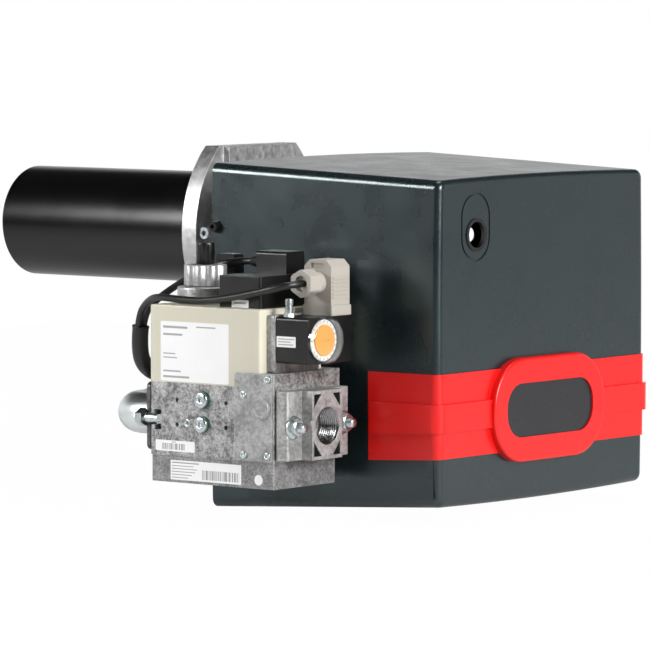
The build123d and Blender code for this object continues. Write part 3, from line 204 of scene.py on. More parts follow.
class Surface:
    def __init__(self, name, owner=None, ending="ShaderNodeOutputMaterial"):
        self.material = owner or bpy.data.materials.new(name)
        self.material.use_nodes = True
        self.tree = self.material.node_tree
        self.tree.nodes.clear()
        self.output = self.tree.nodes.new(ending)

    def add(self, kind, settings=None, values=None):
        # settings go in before the sockets; a value may be a number, a colour, a Num or a socket
        node = self.tree.nodes.new(kind)
        for key, value in (settings or {}).items():
            if key == "stops":
                self.setStops(node.color_ramp, value)
            else:
                setattr(node, key, value)
        for key, value in (values or {}).items():
            self.feed(node.inputs[key], value)
        return node

    def feed(self, socket, value):
        if isinstance(value, Num):
            self.tree.links.new(value.socket, socket)
        elif isinstance(value, bpy.types.NodeSocket):
            self.tree.links.new(value, socket)
        else:
            socket.default_value = value

    def setStops(self, ramp, stops):
        while len(ramp.elements) < len(stops):
            ramp.elements.new(0.5)
        for element, (place, colour) in zip(ramp.elements, stops):
            element.position = place
            element.color = colour

    def place(self):
        return self.add("ShaderNodeTexCoord").outputs["Object"]

    def axes(self):
        split = self.add("ShaderNodeSeparateXYZ", values={0: self.place()})
        return [Num(self, split.outputs[index]) for index in range(3)]

    def noise(self, scale, detail=3.0, roughness=0.55, vector=None, distortion=0.0):
        node = self.add("ShaderNodeTexNoise", values={
            "Vector": vector or self.place(), "Scale": scale, "Detail": detail, "Roughness": roughness,
            "Distortion": distortion})
        return Num(self, node.outputs[0])

    def remap(self, value, fromLow, fromHigh, toLow, toHigh):
        node = self.add("ShaderNodeMapRange", values={
            "Value": value, "From Min": fromLow, "From Max": fromHigh, "To Min": toLow, "To Max": toHigh})
        return Num(self, node.outputs[0])

    def blend(self, factor, first, second):
        node = self.add("ShaderNodeMix", {"data_type": "RGBA"}, {"Factor": factor, 6: first, 7: second})
        return node.outputs[2]

    def bump(self, height, strength, distance, normal=None):
        node = self.add("ShaderNodeBump", values={
            "Height": height, "Strength": strength, "Distance": distance})
        if normal:
            self.feed(node.inputs["Normal"], normal)
        return node.outputs[0]

    def shade(self, **sockets):
        # a keyword names a socket of the main shader, with its words run together
        shader = self.add("ShaderNodeBsdfPrincipled")
        names = {socket.name.replace(" ", ""): socket.name for socket in shader.inputs}
        for key, value in sockets.items():
            self.feed(shader.inputs[names[key]], value)
        self.tree.links.new(shader.outputs[0], self.output.inputs[0])
        return self.material


def grey(level, warm=0.0):
    return (level * (1 + warm), level, level * (1 - warm), 1.0)


# finishes
castValues = dict(grain=1500.0, cloud=55.0, vein=0.02, bevel=0.0009)


def softEdge(surface, radius):
    # a rounded normal near the edges, and 0..1 for how far it turns from the flat one
    bevel = surface.add("ShaderNodeBevel", {"samples": 6}, {"Radius": radius}).outputs[0]
    flat = surface.add("ShaderNodeNewGeometry").outputs["Normal"]
    match = surface.add("ShaderNodeVectorMath", {"operation": "DOT_PRODUCT"}, {0: bevel, 1: flat})
    return bevel, surface.remap(Num(surface, match.outputs["Value"]), 0.995, 0.80, 0.0, 1.0)


def castMetal(name, dark, light, warm=0.0, dent=0.25, mottle=330.0, metal=0.6, rough=(0.34, 0.55), veins=1.0,
              worn=0.35):
    # a mottle of a few millimetres, thin dark veins where a second mottle crosses its middle, and lighter
    # colour along the edges where the bevelled normal turns from the flat one
    surface = Surface(name)
    broad = surface.noise(mottle, 5.0, 0.65)
    fine = surface.noise(castValues["grain"], 3.0, 0.6)
    cloud = surface.noise(castValues["cloud"], 3.0, 0.55)
    cross = surface.noise(mottle * 0.55, 5.0, 0.6, distortion=0.6)
    side = surface.add("ShaderNodeMath", {"operation": "ABSOLUTE"}, {0: cross - 0.5})
    vein = surface.remap(Num(surface, side.outputs[0]), 0.0, castValues["vein"], veins, 0.0)
    mix = surface.remap(broad * 0.45 + fine * 0.25 + cloud * 0.3, 0.42, 0.58, 0.0, 1.0)
    normal, edge = softEdge(surface, castValues["bevel"])
    shade = surface.blend(mix, grey(dark, warm), grey(light, warm))
    veined = surface.blend(vein * 0.6, shade, grey(dark * 0.4, warm))
    # lighter colour along the edges, by how far the bevelled normal turns from the flat one
    colour = surface.blend(edge * worn, veined, grey(min(light * 1.5, 0.9), warm))
    roughness = surface.remap(broad, 0.35, 0.65, *rough)
    dented = surface.bump(fine * 0.6 + broad * 0.4, dent, 0.0005, normal)
    return surface.shade(BaseColor=colour, Metallic=metal, Roughness=roughness, Normal=dented)


def plainPlastic(name, colour, rough=0.5, grain=1400.0, dent=0.08, spread=0.06, specular=0.5, coat=0.0,
                 tint=(1, 1, 1, 1)):
    surface = Surface(name)
    fine = surface.noise(grain, 2.0, 0.5)
    broad = surface.noise(30.0, 3.0, 0.5)
    normal = surface.bump(fine, dent, 0.0003)
    roughness = surface.remap(broad, 0.3, 0.7, rough - spread, rough + spread)
    return surface.shade(BaseColor=colour, Roughness=roughness, Normal=normal, SpecularIORLevel=specular,
                         SpecularTint=tint, CoatWeight=coat, CoatRoughness=0.08)


def brightMetal(name, colour, rough=0.25, spread=0.1, grain=500.0, dent=0.05, metal=1.0):
    surface = Surface(name)
    fine = surface.noise(grain, 3.0, 0.6)
    roughness = surface.remap(fine, 0.3, 0.7, rough - spread, rough + spread)
    normal = surface.bump(fine, dent, 0.0003)
    return surface.shade(BaseColor=colour, Metallic=metal, Roughness=roughness, Normal=normal)


def clearPlastic(name):
    surface = Surface(name)
    gloss = surface.add("ShaderNodeBsdfGlossy", values={"Color": (1, 1, 1, 1), "Roughness": 0.06})
    clear = surface.add("ShaderNodeBsdfTransparent", values={"Color": (0.96, 0.97, 0.96, 1)})
    rim = surface.add("ShaderNodeLayerWeight", values={"Blend": 0.35})
    share = Num(surface, rim.outputs["Facing"]) * 0.35 + 0.04
    mixed = surface.add("ShaderNodeMixShader", values={0: share, 1: clear.outputs[0], 2: gloss.outputs[0]})
    surface.tree.links.new(mixed.outputs[0], surface.output.inputs[0])
    return surface.material


finishes = {
    "castFlange": castMetal("castFlange", 0.42, 0.58, dent=0.15, mottle=200.0, metal=0.92, veins=0.1,
                            worn=0.3),
    "castValve": castMetal("castValve", 0.12, 0.50),
    "castNose": castMetal("castNose", 0.24, 0.46, 0.01, veins=0.15),
    "castCover": castMetal("castCover", 0.12, 0.36, mottle=420.0, dent=0.15, veins=0.5),
    "castNeck": castMetal("castNeck", 0.16, 0.28, 0.02, mottle=150.0, veins=0.2),
    # castDark: painted shade, a near-black copy of the cast finish for the outlet flange, whose face is dark
    # from shade
    "castDark": castMetal("castDark", 0.05, 0.14, mottle=260.0, metal=0.8),
    "dieCast": castMetal("dieCast", 0.22, 0.44, mottle=260.0, dent=0.12, veins=0.4, worn=0.6),
    "bareAluminium": castMetal("bareAluminium", 0.36, 0.62, mottle=500.0, dent=0.1, metal=0.85, veins=0.1),
    "zinc": brightMetal("zinc", (0.56, 0.61, 0.62, 1), 0.3, 0.05, 260.0, 0.03),
    "threadMetal": brightMetal("threadMetal", grey(0.30), 0.26),
    "galvanised": brightMetal("galvanised", (0.72, 0.76, 0.76, 1), 0.36, 0.05, 40.0, 0.02),
    "plainSteel": brightMetal("plainSteel", grey(0.45), 0.35),
    "tubePaint": plainPlastic("tubePaint", grey(0.002), 0.24, 300.0, 0.01, 0.02, 0.5),
    "hoodPlastic": plainPlastic("hoodPlastic", (0.006, 0.011, 0.013, 1), 0.28, 2200.0, 0.12, 0.03, 0.8,
                                tint=(0.86, 1.0, 1.0, 1)),
    "redPlastic": plainPlastic("redPlastic", (0.60, 0.004, 0.003, 1), 0.3, 1800.0, 0.06, 0.03),
    "badgePlastic": plainPlastic("badgePlastic", (0.010, 0.010, 0.012, 1), 0.3, 2500.0, 0.1),
    "blackPlastic": plainPlastic("blackPlastic", grey(0.004), 0.34, 1200.0, 0.12),
    "blackScrew": plainPlastic("blackScrew", grey(0.006), 0.26, 900.0, 0.05),
    "powderCoat": plainPlastic("powderCoat", grey(0.05), 0.5, 700.0, 0.2),
    "motorPaint": plainPlastic("motorPaint", (0.05, 0.055, 0.06, 1), 0.4),
    "greyPlastic": plainPlastic("greyPlastic", (0.36, 0.335, 0.295, 1), 0.45, 900.0, 0.1),
    "lightPlastic": plainPlastic("lightPlastic", grey(0.6), 0.4),
    "creamPlastic": plainPlastic("creamPlastic", (0.56, 0.53, 0.43, 1), 0.42, 1500.0, 0.08),
    "ceramic": plainPlastic("ceramic", (0.8, 0.78, 0.72, 1), 0.2),
    "cableRubber": plainPlastic("cableRubber", grey(0.008), 0.36, 600.0, 0.05),
    "labelFilm": plainPlastic("labelFilm", grey(0.80), 0.5, 600.0, 0.0, 0.0, 0.2),
    "orangeDial": plainPlastic("orangeDial", (0.95, 0.36, 0.02, 1), 0.4),
    "greenSeal": plainPlastic("greenSeal", (0.008, 0.09, 0.045, 1), 0.35),
    "inkBlack": plainPlastic("inkBlack", grey(0.01), 0.5, 600.0, 0.0, 0.0, 0.2),
    "shadowPaint": plainPlastic("shadowPaint", grey(0.004), 0.7, 500.0, 0.1, specular=0.1),
    "clearPlastic": clearPlastic("clearPlastic"),
}

nodeFinish = {
    "castFlange": ["mounting_flange"],
    "castValve": ["valve_body"],
    "castNose": ["inlet_flange"],
    "castCover": ["base_cover"],
    "castNeck": ["neck_casting"],
    "castDark": ["outlet_flange", "fan_volute", "head_elbow"],
    "dieCast": ["regulator_plate", "switch_adapter"],
    "bareAluminium": ["brake_base", "flow_knob"],
    "zinc": ["clamp_screw", "hexagon_bolts", "inlet_studs", "test_screws", "regulator_screws", "test_nipple",
             "damper_lever"],
    "galvanised": ["pipe_elbows", "gas_pipe", "fan_wheel", "damper_flap", "control_bracket"],
    "plainSteel": ["motor_shaft", "head_pipe", "gas_nozzle", "diffuser_disc", "electrode_rods", "armature_1",
                   "armature_2"],
    "tubePaint": ["blast_tube"],
    "hoodPlastic": ["hood"],
    "redPlastic": ["red_band"],
    "badgePlastic": ["badge_panel"],
    "blackPlastic": ["reset_bezel", "ignition_transformer", "control_box", "brake_cap", "leak_tester",
                     "tester_plug", "coil_socket", "pressure_switch"],
    "blackScrew": ["hood_screws"],
    "powderCoat": ["front_plate", "air_box"],
    "motorPaint": ["motor_housing", "motor_cover"],
    "greyPlastic": ["air_pressure_switch", "valve_plug", "cable_gland"],
    "lightPlastic": ["capacitor", "reset_button"],
    "creamPlastic": ["coil_housing"],
    "ceramic": ["electrode_insulators"],
    "clearPlastic": ["dial_cover"],
    "orangeDial": ["pressure_dial"],
    "cableRubber": ["supply_cable", "tester_cable", "cable_sleeve"],
}

for finishName, members in nodeFinish.items():
    for member in members:
        nodes[member].data.materials.clear()
        nodes[member].data.materials.append(finishes[finishName])
print("finishes on", sum(len(members) for members in nodeFinish.values()), "nodes")


def settle(piece, body, finish):
    piece.data.materials.clear()
    piece.data.materials.append(finishes[finish])
    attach(piece, body)
    return piece


# cords
cordSet = {
    "supplyCable": dict(node="supply_cable", radius=3.2, length=0.2382, route=[
        (269, -248, -29), (269, -263.5, -29), (251.0, -271.0, -33.5), (221.0, -271.5, -40.0),
        (189.0, -271.0, -45.5), (161.0, -269.0, -47.4), (134.0, -266.0, -46.6), (110.5, -260.0, -46.2),
        (93.0, -251.5, -52.0), (78.4, -245.6, -64.5), (74.6, -243.4, -86.8)]),
    "testerCable": dict(node="tester_cable", radius=3.2, length=0.1537, route=[
        (186, -203, -14.7), (168.0, -203, -14.7), (144.0, -207.2, -17.5), (120.0, -211.5, -26.0),
        (101.0, -221.0, -39.0), (87.0, -231.5, -51.5), (78.4, -238.9, -64.5), (74.6, -236.7, -86.8)]),
    "cableSleeve": dict(node="cable_sleeve", radius=7.5, length=0.1483, route=[
        (76.5, -240.8, -75.5), (73.0, -239.6, -98.0), (75.0, -231.0, -115.0), (80.0, -210.0, -121.5),
        (83.0, -184.0, -121.0), (87.0, -159.0, -117.5), (95.5, -141.0, -112.0), (110.0, -141.0, -112.0)]),
}


def layCord(name, values):
    curve = bpy.data.curves.new(name, "CURVE")
    curve.dimensions = "3D"
    curve.bevel_depth = values["radius"] * mm
    curve.bevel_resolution = 6
    curve.resolution_u = 8
    curve.use_fill_caps = True
    spline = curve.splines.new("NURBS")
    route = np.array(values["route"]) * mm
    spline.points.add(len(route) - 1)
    spline.points.foreach_set("co", np.column_stack([route, np.ones(len(route))]).ravel())
    spline.order_u = 3
    spline.use_endpoint_u = True
    piece = bpy.data.objects.new(name, curve)
    bpy.context.scene.collection.objects.link(piece)
    settle(piece, "burner", "cableRubber")
    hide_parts(values["node"])
    2 * values["radius"] * mm


for cordName, cordValues in cordSet.items():
    layCord(cordName, cordValues)

# the sleeve's open mouth: a rolled rim round a dark disc of painted shade for the inside of the mouth
mouthSet = dict(inner=6.4, outer=7.75, rise=0.7)


def sleeveMouth():
    values = mouthSet
    route = np.array(cordSet["cableSleeve"]["route"]) * mm
    axis = route[0] - route[1]
    axis /= np.linalg.norm(axis)
    rim = [(values["inner"], 0.1), (values["outer"], -1.2), (values["outer"], values["rise"] - 0.3),
           (values["outer"] - 0.3, values["rise"]), (values["inner"] + 0.2, values["rise"]),
           (values["inner"], values["rise"] - 0.2)]
    settle(polar("sleeveRim", rim, route[0], axis, closed=True), "burner", "cableRubber")
    # painted shade: a dark disc just inside the rim stands for the shade in the mouth
    floor = [(values["inner"], 0.02), (values["inner"], 0.12), (0.3, 0.14)]
    settle(polar("sleeveMouthShade", floor, route[0], axis), "burner", "shadowPaint")


sleeveMouth()
print("cords laid")


# gas train pieces
threadSet = dict(pitch=2.309, depth=1.45, root=16.5, length=21.5, fade=2.0, skin=0.05, steps=72,
                 rowsPerTurn=8)


def inletThread():
    # radius = root - depth * tent(height / pitch - angle / turn), then straight back along the root wall
    values = threadSet
    low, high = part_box("inlet_flange")
    mouthX = high[0]
    centreY, centreZ = gasLine[0] * mm, gasLine[1] * mm
    rows = int(values["length"] / values["pitch"] * values["rowsPerTurn"])
    height = np.linspace(0, values["length"], rows)[:, None]
    angle = ringAngle(values["steps"])[None, :]
    phase = (height / values["pitch"] - angle / twoPi) % 1.0
    tent = 1 - np.abs(2 * phase - 1)
    left = values["length"] - height
    ends = np.clip(height / values["fade"], 0, 1) * np.clip(left / values["fade"], 0, 1)
    radius = values["root"] - values["depth"] * tent * ends
    inner = np.stack([mouthX - (height + 0 * angle) * mm, centreY + radius * np.cos(angle) * mm,
                      centreZ + radius * np.sin(angle) * mm], -1)
    wall = values["root"] + values["skin"]
    back = inner[::-1][[0, -1]].copy()
    back[..., 1] = centreY + wall * np.cos(angle) * mm
    back[..., 2] = centreZ + wall * np.sin(angle) * mm
    piece = ringGrid("inletThread", np.concatenate([inner, back]), wrapRows=True)
    return settle(piece, "burner", "threadMetal")


inletThread()

# a label without words: centre, width, height, corner in millimetres on a face that looks to -Y; lines as
# (left, right, height, thickness) from the label's middle, bars as (left, right, low, high)
labelSet = {
    "coilLabel": dict(x=167.7, z=-92.6, width=77.8, height=53.0, corner=1.6, face=valveFront, lines=[
        (-36, -8, 21.5, 2.0), (2, 24, 22.5, 1.2), (-36, -14, 15.0, 1.8), (-36, -22, -2.0, 1.0),
        (-36, -20, -5.5, 1.0), (-36, -16, -17.5, 1.4), (-36, -6, -22.5, 1.8)]),
    "valveLabel": dict(x=145.2, z=-176.6, width=45.0, height=9.6, corner=1.2, face=valveFront,
                       lines=[(-4, 1, 3.4, 0.8)], bars=(-15, 11, -3.4, 2.2)),
    "coverLabel": dict(x=179.5, z=-197.9, width=80.6, height=17.4, corner=0.6, face=-274.0, lines=[
        (-39, -8, 6.6, 1.2), (-39, -14, 3.8, 0.8), (-39, -10, 1.2, 0.8), (-39, -12, -1.4, 0.8),
        (-39, -16, -4.0, 0.8), (-39, -20, -6.6, 0.8)], bars=(-4, 38, -7.0, 1.4)),
    "roundLabel": dict(x=239.4, z=-201.2, width=9.2, height=9.2, corner=4.59, face=-274.0),
    "testerLabel": dict(x=211.5, z=-48.2, width=19.0, height=6.8, corner=0.4, face=-265.0,
                        lines=[(-7, 7, 0.6, 1.6)]),
    "switchLabel": dict(x=263.2, z=-79.4, width=21.2, height=9.4, corner=0.4, face=-265.0,
                        lines=[(-9, 9, 2.4, 0.9), (-9, 5, 0.0, 0.9), (-9, 8, -2.4, 0.9)]),
}
labelThickness = 0.12
inkValues = dict(line=0.6, bar=0.75, stripes=900.0, paper=(0.76, 0.82), ink=0.03)


def printedFilm(name, values):
    # plain ruled lines, and uneven bars cut from a noise along x, dark where x and z fall inside them
    surface = Surface(name)
    x, z = surface.axes()[::2]
    x, z = x - values["x"] * mm, z - values["z"] * mm

    def inside(left, right, low, high):
        return (x > left * mm) * (x < right * mm) * (z > low * mm) * (z < high * mm)

    ink = 0.0
    for left, right, height, thickness in values.get("lines", []):
        ink = ink + inside(left, right, height - thickness / 2, height + thickness / 2) * inkValues["line"]
    if "bars" in values:
        stripes = surface.add("ShaderNodeTexNoise", {"noise_dimensions": "1D"},
                              {"W": x, "Scale": inkValues["stripes"], "Detail": 0.0})
        ink = ink + inside(*values["bars"]) * (Num(surface, stripes.outputs[0]) > 0.5) * inkValues["bar"]
    wide = surface.noise(40.0, 2.0, 0.5)
    pale, bright = inkValues["paper"]
    paper = surface.blend(wide, grey(pale), grey(bright))
    return surface.shade(BaseColor=surface.blend(ink, paper, grey(inkValues["ink"])), Roughness=0.5,
                         SpecularIORLevel=0.25)


def layLabels():
    for name, values in labelSet.items():
        outline = roundedOutline(values["width"], values["height"], values["corner"]) * mm
        centre = np.array([values["x"], values["face"], values["z"]]) * mm
        piece = slab(name, outline, centre, (1, 0, 0), (0, 0, 1), labelThickness * mm)
        settle(piece, "burner", "labelFilm")
        piece.data.materials[0] = printedFilm(name + "Film", values)


layLabels()

sealSet = dict(places=((177.6, -133.8), (177.2, -155.6)), inner=3.0, outer=7.5, rise=1.7, foot=0.05, edge=0.4)


def testSeals():
    # a square-edged collar round each pressure-tapping screw
    values = sealSet
    inner, outer, foot, rise = (values[key] for key in ("inner", "outer", "foot", "rise"))
    profile = [(inner, foot), (outer, foot), (outer, rise - values["edge"]), (outer - values["edge"], rise),
               (inner, rise)]
    for number, (x, z) in enumerate(values["places"], start=1):
        centre = np.array([x, valveFront, z]) * mm
        piece = polar("testSeal%d" % number, profile, centre, (0, -1, 0), steps=48, closed=True)
        settle(piece, "burner", "greenSeal")


testSeals()

# screws, nuts and studs
nutSet = dict(flats=14.0, height=7.0, flange=10.3, hole=4.2, slope=0.55, crown=0.95, mouth=0.6, steps=96)
studSet = dict(root=3.9, crest=4.45, pitch=1.25, seat=271.0, end=284.0, tip=0.6, steps=48, rowsPerTurn=8)


def hexRadius(flats, angle):
    # distance to a hexagon's side: half the flats over the cosine of the angle from the side's middle
    return flats / 2 / np.cos((angle + np.pi / 6) % (np.pi / 3) - np.pi / 6)


def hexNut(name, centre, axis):
    # the cone that cuts a nut's corners: height falls by the slope times the way out past the round crown
    values = nutSet
    flange, height, hole, mouth = (values[key] for key in ("flange", "height", "hole", "mouth"))
    edge = hexRadius(values["flats"], ringAngle(values["steps"]))
    crown = values["crown"] * values["flats"] / 2
    top = height - (edge - crown) * values["slope"]
    rings = [(hole, 0.0), (flange, 0.0), (flange, 0.9), (flange - 0.6, 1.5), (edge + 0.2, 1.8), (edge, 2.0),
             (edge, top), (crown, height), (hole + mouth, height), (hole, height - mouth)]
    return polar(name, rings, centre, axis, steps=values["steps"], closed=True, smooth=False)


def threadedRod(name, centre, axis, length):
    # radius = root + (crest - root) * tent(height / pitch - angle / turn), drawn in at the far end
    values = studSet
    angle = ringAngle(values["steps"])
    heights = np.linspace(0, length, int(length / values["pitch"] * values["rowsPerTurn"]))
    phase = (heights[:, None] / values["pitch"] - angle / twoPi) % 1.0
    radius = values["root"] + (values["crest"] - values["root"]) * (1 - np.abs(2 * phase - 1))
    radius = np.minimum(radius, values["root"] - values["tip"] + (length - heights)[:, None])
    return polar(name, list(zip(radius, heights)), centre, axis, steps=values["steps"])


def inletStuds():
    low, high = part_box("inlet_studs")
    for number, y in enumerate((low[1] + nutSet["flange"] * mm, high[1] - nutSet["flange"] * mm), start=1):
        seat = np.array([studSet["seat"] * mm, y, (low[2] + high[2]) / 2])
        nut = hexNut("inletNut%d" % number, seat, (1, 0, 0))
        rod = threadedRod("inletStud%d" % number, seat, (1, 0, 0), studSet["end"] - studSet["seat"])
        for piece in (nut, rod):
            settle(piece, "burner", "zinc")
            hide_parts("inlet_studs")


inletStuds()

# star-socket screws: places (x, z) and a turned profile of (radius, height), all in millimetres
starSet = dict(base=1.55, swing=0.28, lobes=6, edge=0.15, steps=72)
regulatorSet = dict(places=((252.2, -112.2), (225.4, -126.4), (225.6, -179.4), (252.2, -179.0)), depth=1.2,
                    turn=0.3, profile=[(3.2, 0.0), (3.4, 0.2), (3.4, 1.1), (3.0, 1.6), (2.4, 1.8)])
testSet = dict(places=sealSet["places"], depth=1.8, turn=0.25, grow=1.45,
               profile=[(6.6, 1.5), (7.2, 1.8), (7.2, 4.0), (6.8, 4.7), (5.4, 5.1), (4.2, 5.2)])


def starHead(name, centre, values, number):
    # a turned head with a star recess: radius = base + swing * cos(lobes * angle), turned by its number
    angle = ringAngle(starSet["steps"])
    wave = starSet["swing"] * np.cos(starSet["lobes"] * angle)
    star = values.get("grow", 1.0) * (starSet["base"] + wave)
    top = values["profile"][-1][1]
    floor = top - values["depth"]
    rings = values["profile"] + [(star + starSet["edge"], top), (star, top - starSet["edge"]), (star, floor),
                                 (0.3, floor - 0.3)]
    return polar(name, rings, centre, (0, -1, 0), steps=starSet["steps"], turn=values["turn"] * number)


def starScrews():
    low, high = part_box("regulator_screws")
    for number, (x, z) in enumerate(regulatorSet["places"], start=1):
        piece = starHead("regulatorScrew%d" % number, (x * mm, high[1], z * mm), regulatorSet, number)
        settle(piece, "burner", "zinc")
        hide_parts("regulator_screws")
    for number, (x, z) in enumerate(testSet["places"], start=1):
        piece = starHead("testScrew%d" % number, (x * mm, valveFront * mm, z * mm), testSet, number)
        settle(piece, "burner", "zinc")
        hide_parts("test_screws")


starScrews()

# painted shade: dark blocks on the floors of the four corner pockets of the inlet's nose, for the shade in
# the pockets
pocketSet = dict(floor=277.05, rise=4.6, cornerY=18.6, cornerZ=27.25, legY=10.6, legZ=12.6)


def pocketShadeBlocks():
    values = pocketSet
    low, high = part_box("inlet_flange")
    middle = np.array([values["floor"] * mm, gasLine[0] * mm, (low[2] + high[2]) / 2])
    triangle = np.array([(0.0, 0.0), (-values["legY"], 0.0), (0.0, -values["legZ"])])
    for number, (sideY, sideZ) in enumerate(((1, 1), (-1, 1), (-1, -1), (1, -1)), start=1):
        corners = (triangle + (values["cornerY"], values["cornerZ"])) * (sideY, sideZ) * mm
        corners = corners if sideY * sideZ > 0 else corners[::-1]
        grid = np.stack([middle + np.column_stack([np.full(3, rise * mm), corners])
                         for rise in (0.0, values["rise"])])
        piece = ringGrid("pocketFloor%d" % number, grid, smooth=False)
        settle(piece, "burner", "shadowPaint")


pocketShadeBlocks()

# a small hollow plug for the tapping beside the test screws
tappingSet = dict(place=(159.0, valveFront, -155.6), outer=3.45, inner=1.5, rise=0.3, depth=2.6)


def smallTapping():
    values = tappingSet
    outer, inner, rise = (values[key] for key in ("outer", "inner", "rise"))
    rings = [(outer, -3.6), (outer, 0.1), (outer - 0.2, rise), (inner + 0.3, rise), (inner, 0.0),
             (inner, -values["depth"])]
    piece = polar("smallTapping", rings, np.array(values["place"]) * mm, (0, -1, 0), steps=48)
    settle(piece, "burner", "zinc")


smallTapping()

# pressure dial: a pale fixed ring with even marks round the turning middle
dialSet = dict(outer=18.2, inner=13.6, rise=1.2, marks=20, markWidth=0.5, markLength=2.4, markInset=0.5,
               markLift=0.02, markThickness=0.08, face=288.1)


def dialRing():
    values = dialSet
    low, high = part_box("pressure_dial")
    centre = np.array([values["face"] * mm, (low[1] + high[1]) / 2, (low[2] + high[2]) / 2])
    rings = [(values["inner"], 0.0), (values["outer"], 0.0), (values["outer"], values["rise"] - 0.3),
             (values["outer"] - 0.3, values["rise"]), (values["inner"] + 0.2, values["rise"]),
             (values["inner"], values["rise"] - 0.2)]
    settle(polar("dialRing", rings, centre, (1, 0, 0), closed=True), "burner", "labelFilm")
    angle = ringAngle(values["marks"])
    outward = np.stack([0 * angle, np.cos(angle), np.sin(angle)], -1)
    sideways = np.stack([0 * angle, -np.sin(angle), np.cos(angle)], -1) * values["markWidth"] / 2
    far = values["outer"] - values["markInset"]
    near = far - values["markLength"]
    corners = [outward * far + sideways, outward * far - sideways, outward * near - sideways,
               outward * near + sideways]
    lower = np.stack(corners, 1) + (values["rise"] + values["markLift"], 0, 0)
    upper = lower + (values["markThickness"], 0, 0)
    points = np.concatenate([lower, upper], 1).reshape(-1, 3) * mm + centre
    sides = np.array([(3, 2, 1, 0), (4, 5, 6, 7), (0, 1, 5, 4), (1, 2, 6, 5), (2, 3, 7, 6), (3, 0, 4, 7)])
    faces = (sides[None] + 8 * np.arange(values["marks"])[:, None, None]).reshape(-1, 4)
    marks = meshPiece("dialMarks", points, [faces], smooth=False)
    settle(marks, "burner", "inkBlack")


dialRing()

# adjusting knob and cap of the brake
knobSet = dict(lobes=9, radius=19.4, groove=2.4, width=0.17, height=19.0, first=0.35, bore=5.1, recess=11.8,
               recessDepth=1.2, lip=0.4, steps=216)
capSet = dict(flutes=8, radius=8.2, groove=0.7, height=20.0, first=0.2, bore=5.1, dimple=4.0, dimpleDepth=0.4,
              steps=160)


def flutedKnob():
    # radius = outer - groove * exp(-(angle from the nearest groove / width)^2), rounded over at both ends
    values = knobSet
    low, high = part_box("flow_knob")
    centre = ((low[0] + high[0]) / 2, (low[1] + high[1]) / 2, low[2])
    angle = ringAngle(values["steps"])
    pitch = twoPi / values["lobes"]
    away = (angle - values["first"] + pitch / 2) % pitch - pitch / 2
    lobe = values["radius"] - values["groove"] * np.exp(-(away / values["width"]) ** 2)
    height, bore, recess, lip = (values[key] for key in ("height", "bore", "recess", "lip"))
    floor = height - values["recessDepth"]
    rings = [(bore, 0.0), (lobe - 1.0, 0.0), (lobe - 0.3, 0.25), (lobe, 0.9), (lobe, height - 0.9),
             (lobe - 0.3, height - 0.25), (lobe - 1.0, height), (recess + lip, height),
             (recess, height - lip), (recess, floor), (bore, floor)]
    piece = polar("flutedKnob", rings, centre, (0, 0, 1), steps=values["steps"], closed=True)
    settle(piece, "flow_adjuster", "bareAluminium")
    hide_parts("flow_knob")


flutedKnob()


def flutedCap():
    # radius = outer - groove * (cos(flutes * angle) held between 0.2 and 1, less 0.2), with a plain top
    values = capSet
    low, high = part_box("brake_cap")
    centre = ((low[0] + high[0]) / 2, (low[1] + high[1]) / 2, low[2])
    angle = ringAngle(values["steps"])
    wave = np.clip(np.cos(values["flutes"] * (angle - values["first"])), 0.2, 1.0) - 0.2
    outer, height, dimple = values["radius"], values["height"], values["dimple"]
    side = outer - values["groove"] * wave
    floor = height - values["dimpleDepth"]
    rings = [(values["bore"], 0.0), (side - 0.2, 0.0), (side, 0.3), (side, height - 4.2),
             (outer, height - 3.8), (outer, height - 1.2), (outer - 0.35, height - 0.35),
             (outer - 1.2, height), (dimple + 0.2, height), (dimple, floor), (0.6, floor)]
    piece = polar("flutedCap", rings, centre, (0, 0, 1), steps=values["steps"])
    settle(piece, "quick_stroke_cap", "blackPlastic")
    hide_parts("brake_cap")


flutedCap()
print("gas train dressed")


# room
floorSet = dict(size=1.6, gap=0.0005, paper=0.82, gloss=0.12, share=0.985)


def makeFloor():
    low, high = cadBox
    corners = np.array([(-1, -1), (1, -1), (1, 1), (-1, 1)]) * floorSet["size"]
    points = np.column_stack([corners, np.full(4, low[2] - floorSet["gap"])])
    floor = meshPiece("floor", points, [np.arange(4)[None, :]], smooth=False)
    surface = Surface("floorPaper")
    path = surface.add("ShaderNodeLightPath")
    camera, glossy, through = (Num(surface, path.outputs["Is %s Ray" % kind])
                               for kind in ("Camera", "Glossy", "Transmission"))
    seen = camera + glossy * floorSet["gloss"] + through
    paper = surface.add("ShaderNodeBsdfDiffuse", values={"Color": grey(floorSet["paper"])})
    glow = surface.add("ShaderNodeEmission", values={"Color": grey(1.0), "Strength": 1.0})
    share = surface.add("ShaderNodeMath", {"operation": "MULTIPLY", "use_clamp": True},
                        {0: seen, 1: floorSet["share"]})
    mixed = surface.add("ShaderNodeMixShader", values={
        0: share.outputs[0], 1: paper.outputs[0], 2: glow.outputs[0]})
    surface.tree.links.new(mixed.outputs[0], surface.output.inputs[0])
    floor.data.materials.append(surface.material)


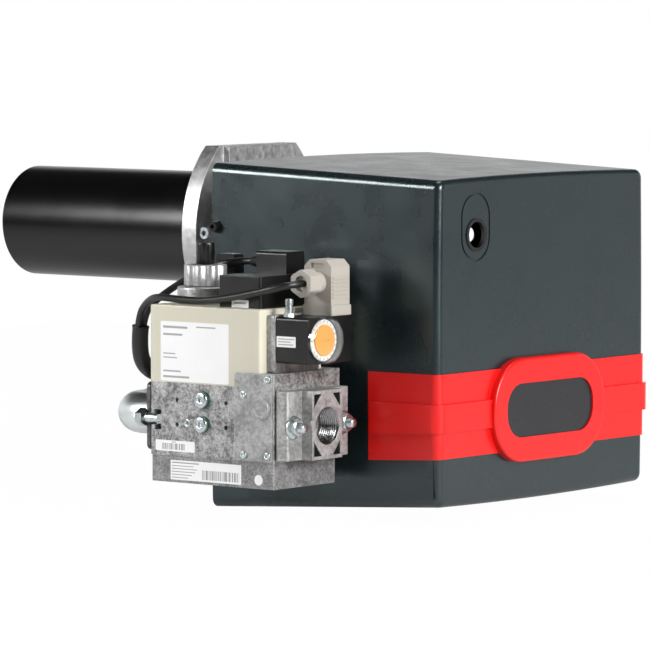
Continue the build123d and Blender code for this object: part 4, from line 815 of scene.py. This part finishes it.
roomSet = dict(
    soft=0.30,                      # strength on the object's plain faces
    wall=(-0.62, 0.78, 0.0),        # the white wall stands on this side, the dark room opposite
    dark=0.015,
    lamps={
        "frontLamp": dict(place=(-1.0, -1.75, 0.62), target=(-0.05, -0.25, 0.0), size=(0.6, 0.7), power=1.3,
                          spread=26.0),
        "rightLamp": dict(place=(2.9, -0.45, 0.9), target=(0.3, -0.1, -0.1), size=(1.2, 1.2), power=50.0,
                          spread=120.0),
        "topLamp": dict(place=(0.2, 0.3, 2.1), target=(0.1, -0.05, 0.0), size=(1.2, 1.2), power=14.0,
                        spread=160.0),
    })


def makeWorld():
    # seen directly the room is white; in gloss it is white towards the wall, up to a low height
    world = bpy.data.worlds.new("room")
    bpy.context.scene.world = world
    room = Surface("room", world, "ShaderNodeOutputWorld")
    path = room.add("ShaderNodeLightPath")
    direction = room.add("ShaderNodeTexCoord").outputs["Generated"]
    split = room.add("ShaderNodeSeparateXYZ", values={0: direction})
    towards = room.add("ShaderNodeVectorMath", {"operation": "DOT_PRODUCT"},
                       {0: direction, 1: roomSet["wall"]})
    sideways = room.remap(Num(room, towards.outputs["Value"]), 0.05, 0.45, 0.0, 1.0)
    height = room.remap(Num(room, split.outputs[2]), 0.22, 0.50, 1.0, 0.0)
    gloss = sideways * height * (1 - roomSet["dark"]) + roomSet["dark"]
    camera = Num(room, path.outputs["Is Camera Ray"])
    mirrored = Num(room, path.outputs["Is Glossy Ray"])
    through = Num(room, path.outputs["Is Transmission Ray"])
    strength = camera + through + mirrored * gloss
    plain = 1 - camera - through - mirrored
    shine = room.add("ShaderNodeBackground", values={
        "Color": (1, 1, 1, 1), "Strength": strength + plain * roomSet["soft"]})
    room.tree.links.new(shine.outputs[0], room.output.inputs[0])


def makeLamps():
    for name, values in roomSet["lamps"].items():
        data = bpy.data.lights.new(name, "AREA")
        data.shape = "RECTANGLE"
        data.size, data.size_y = values["size"]
        data.energy = values["power"]
        data.spread = np.radians(values["spread"])
        lamp = bpy.data.objects.new(name, data)
        lamp.location = values["place"]
        toward = Vector(values["target"]) - Vector(values["place"])
        lamp.rotation_euler = toward.to_track_quat("-Z", "Y").to_euler()
        bpy.context.scene.collection.objects.link(lamp)


makeFloor()
makeWorld()
makeLamps()
bpy.context.scene.view_settings.view_transform = "Standard"
print("room lit")
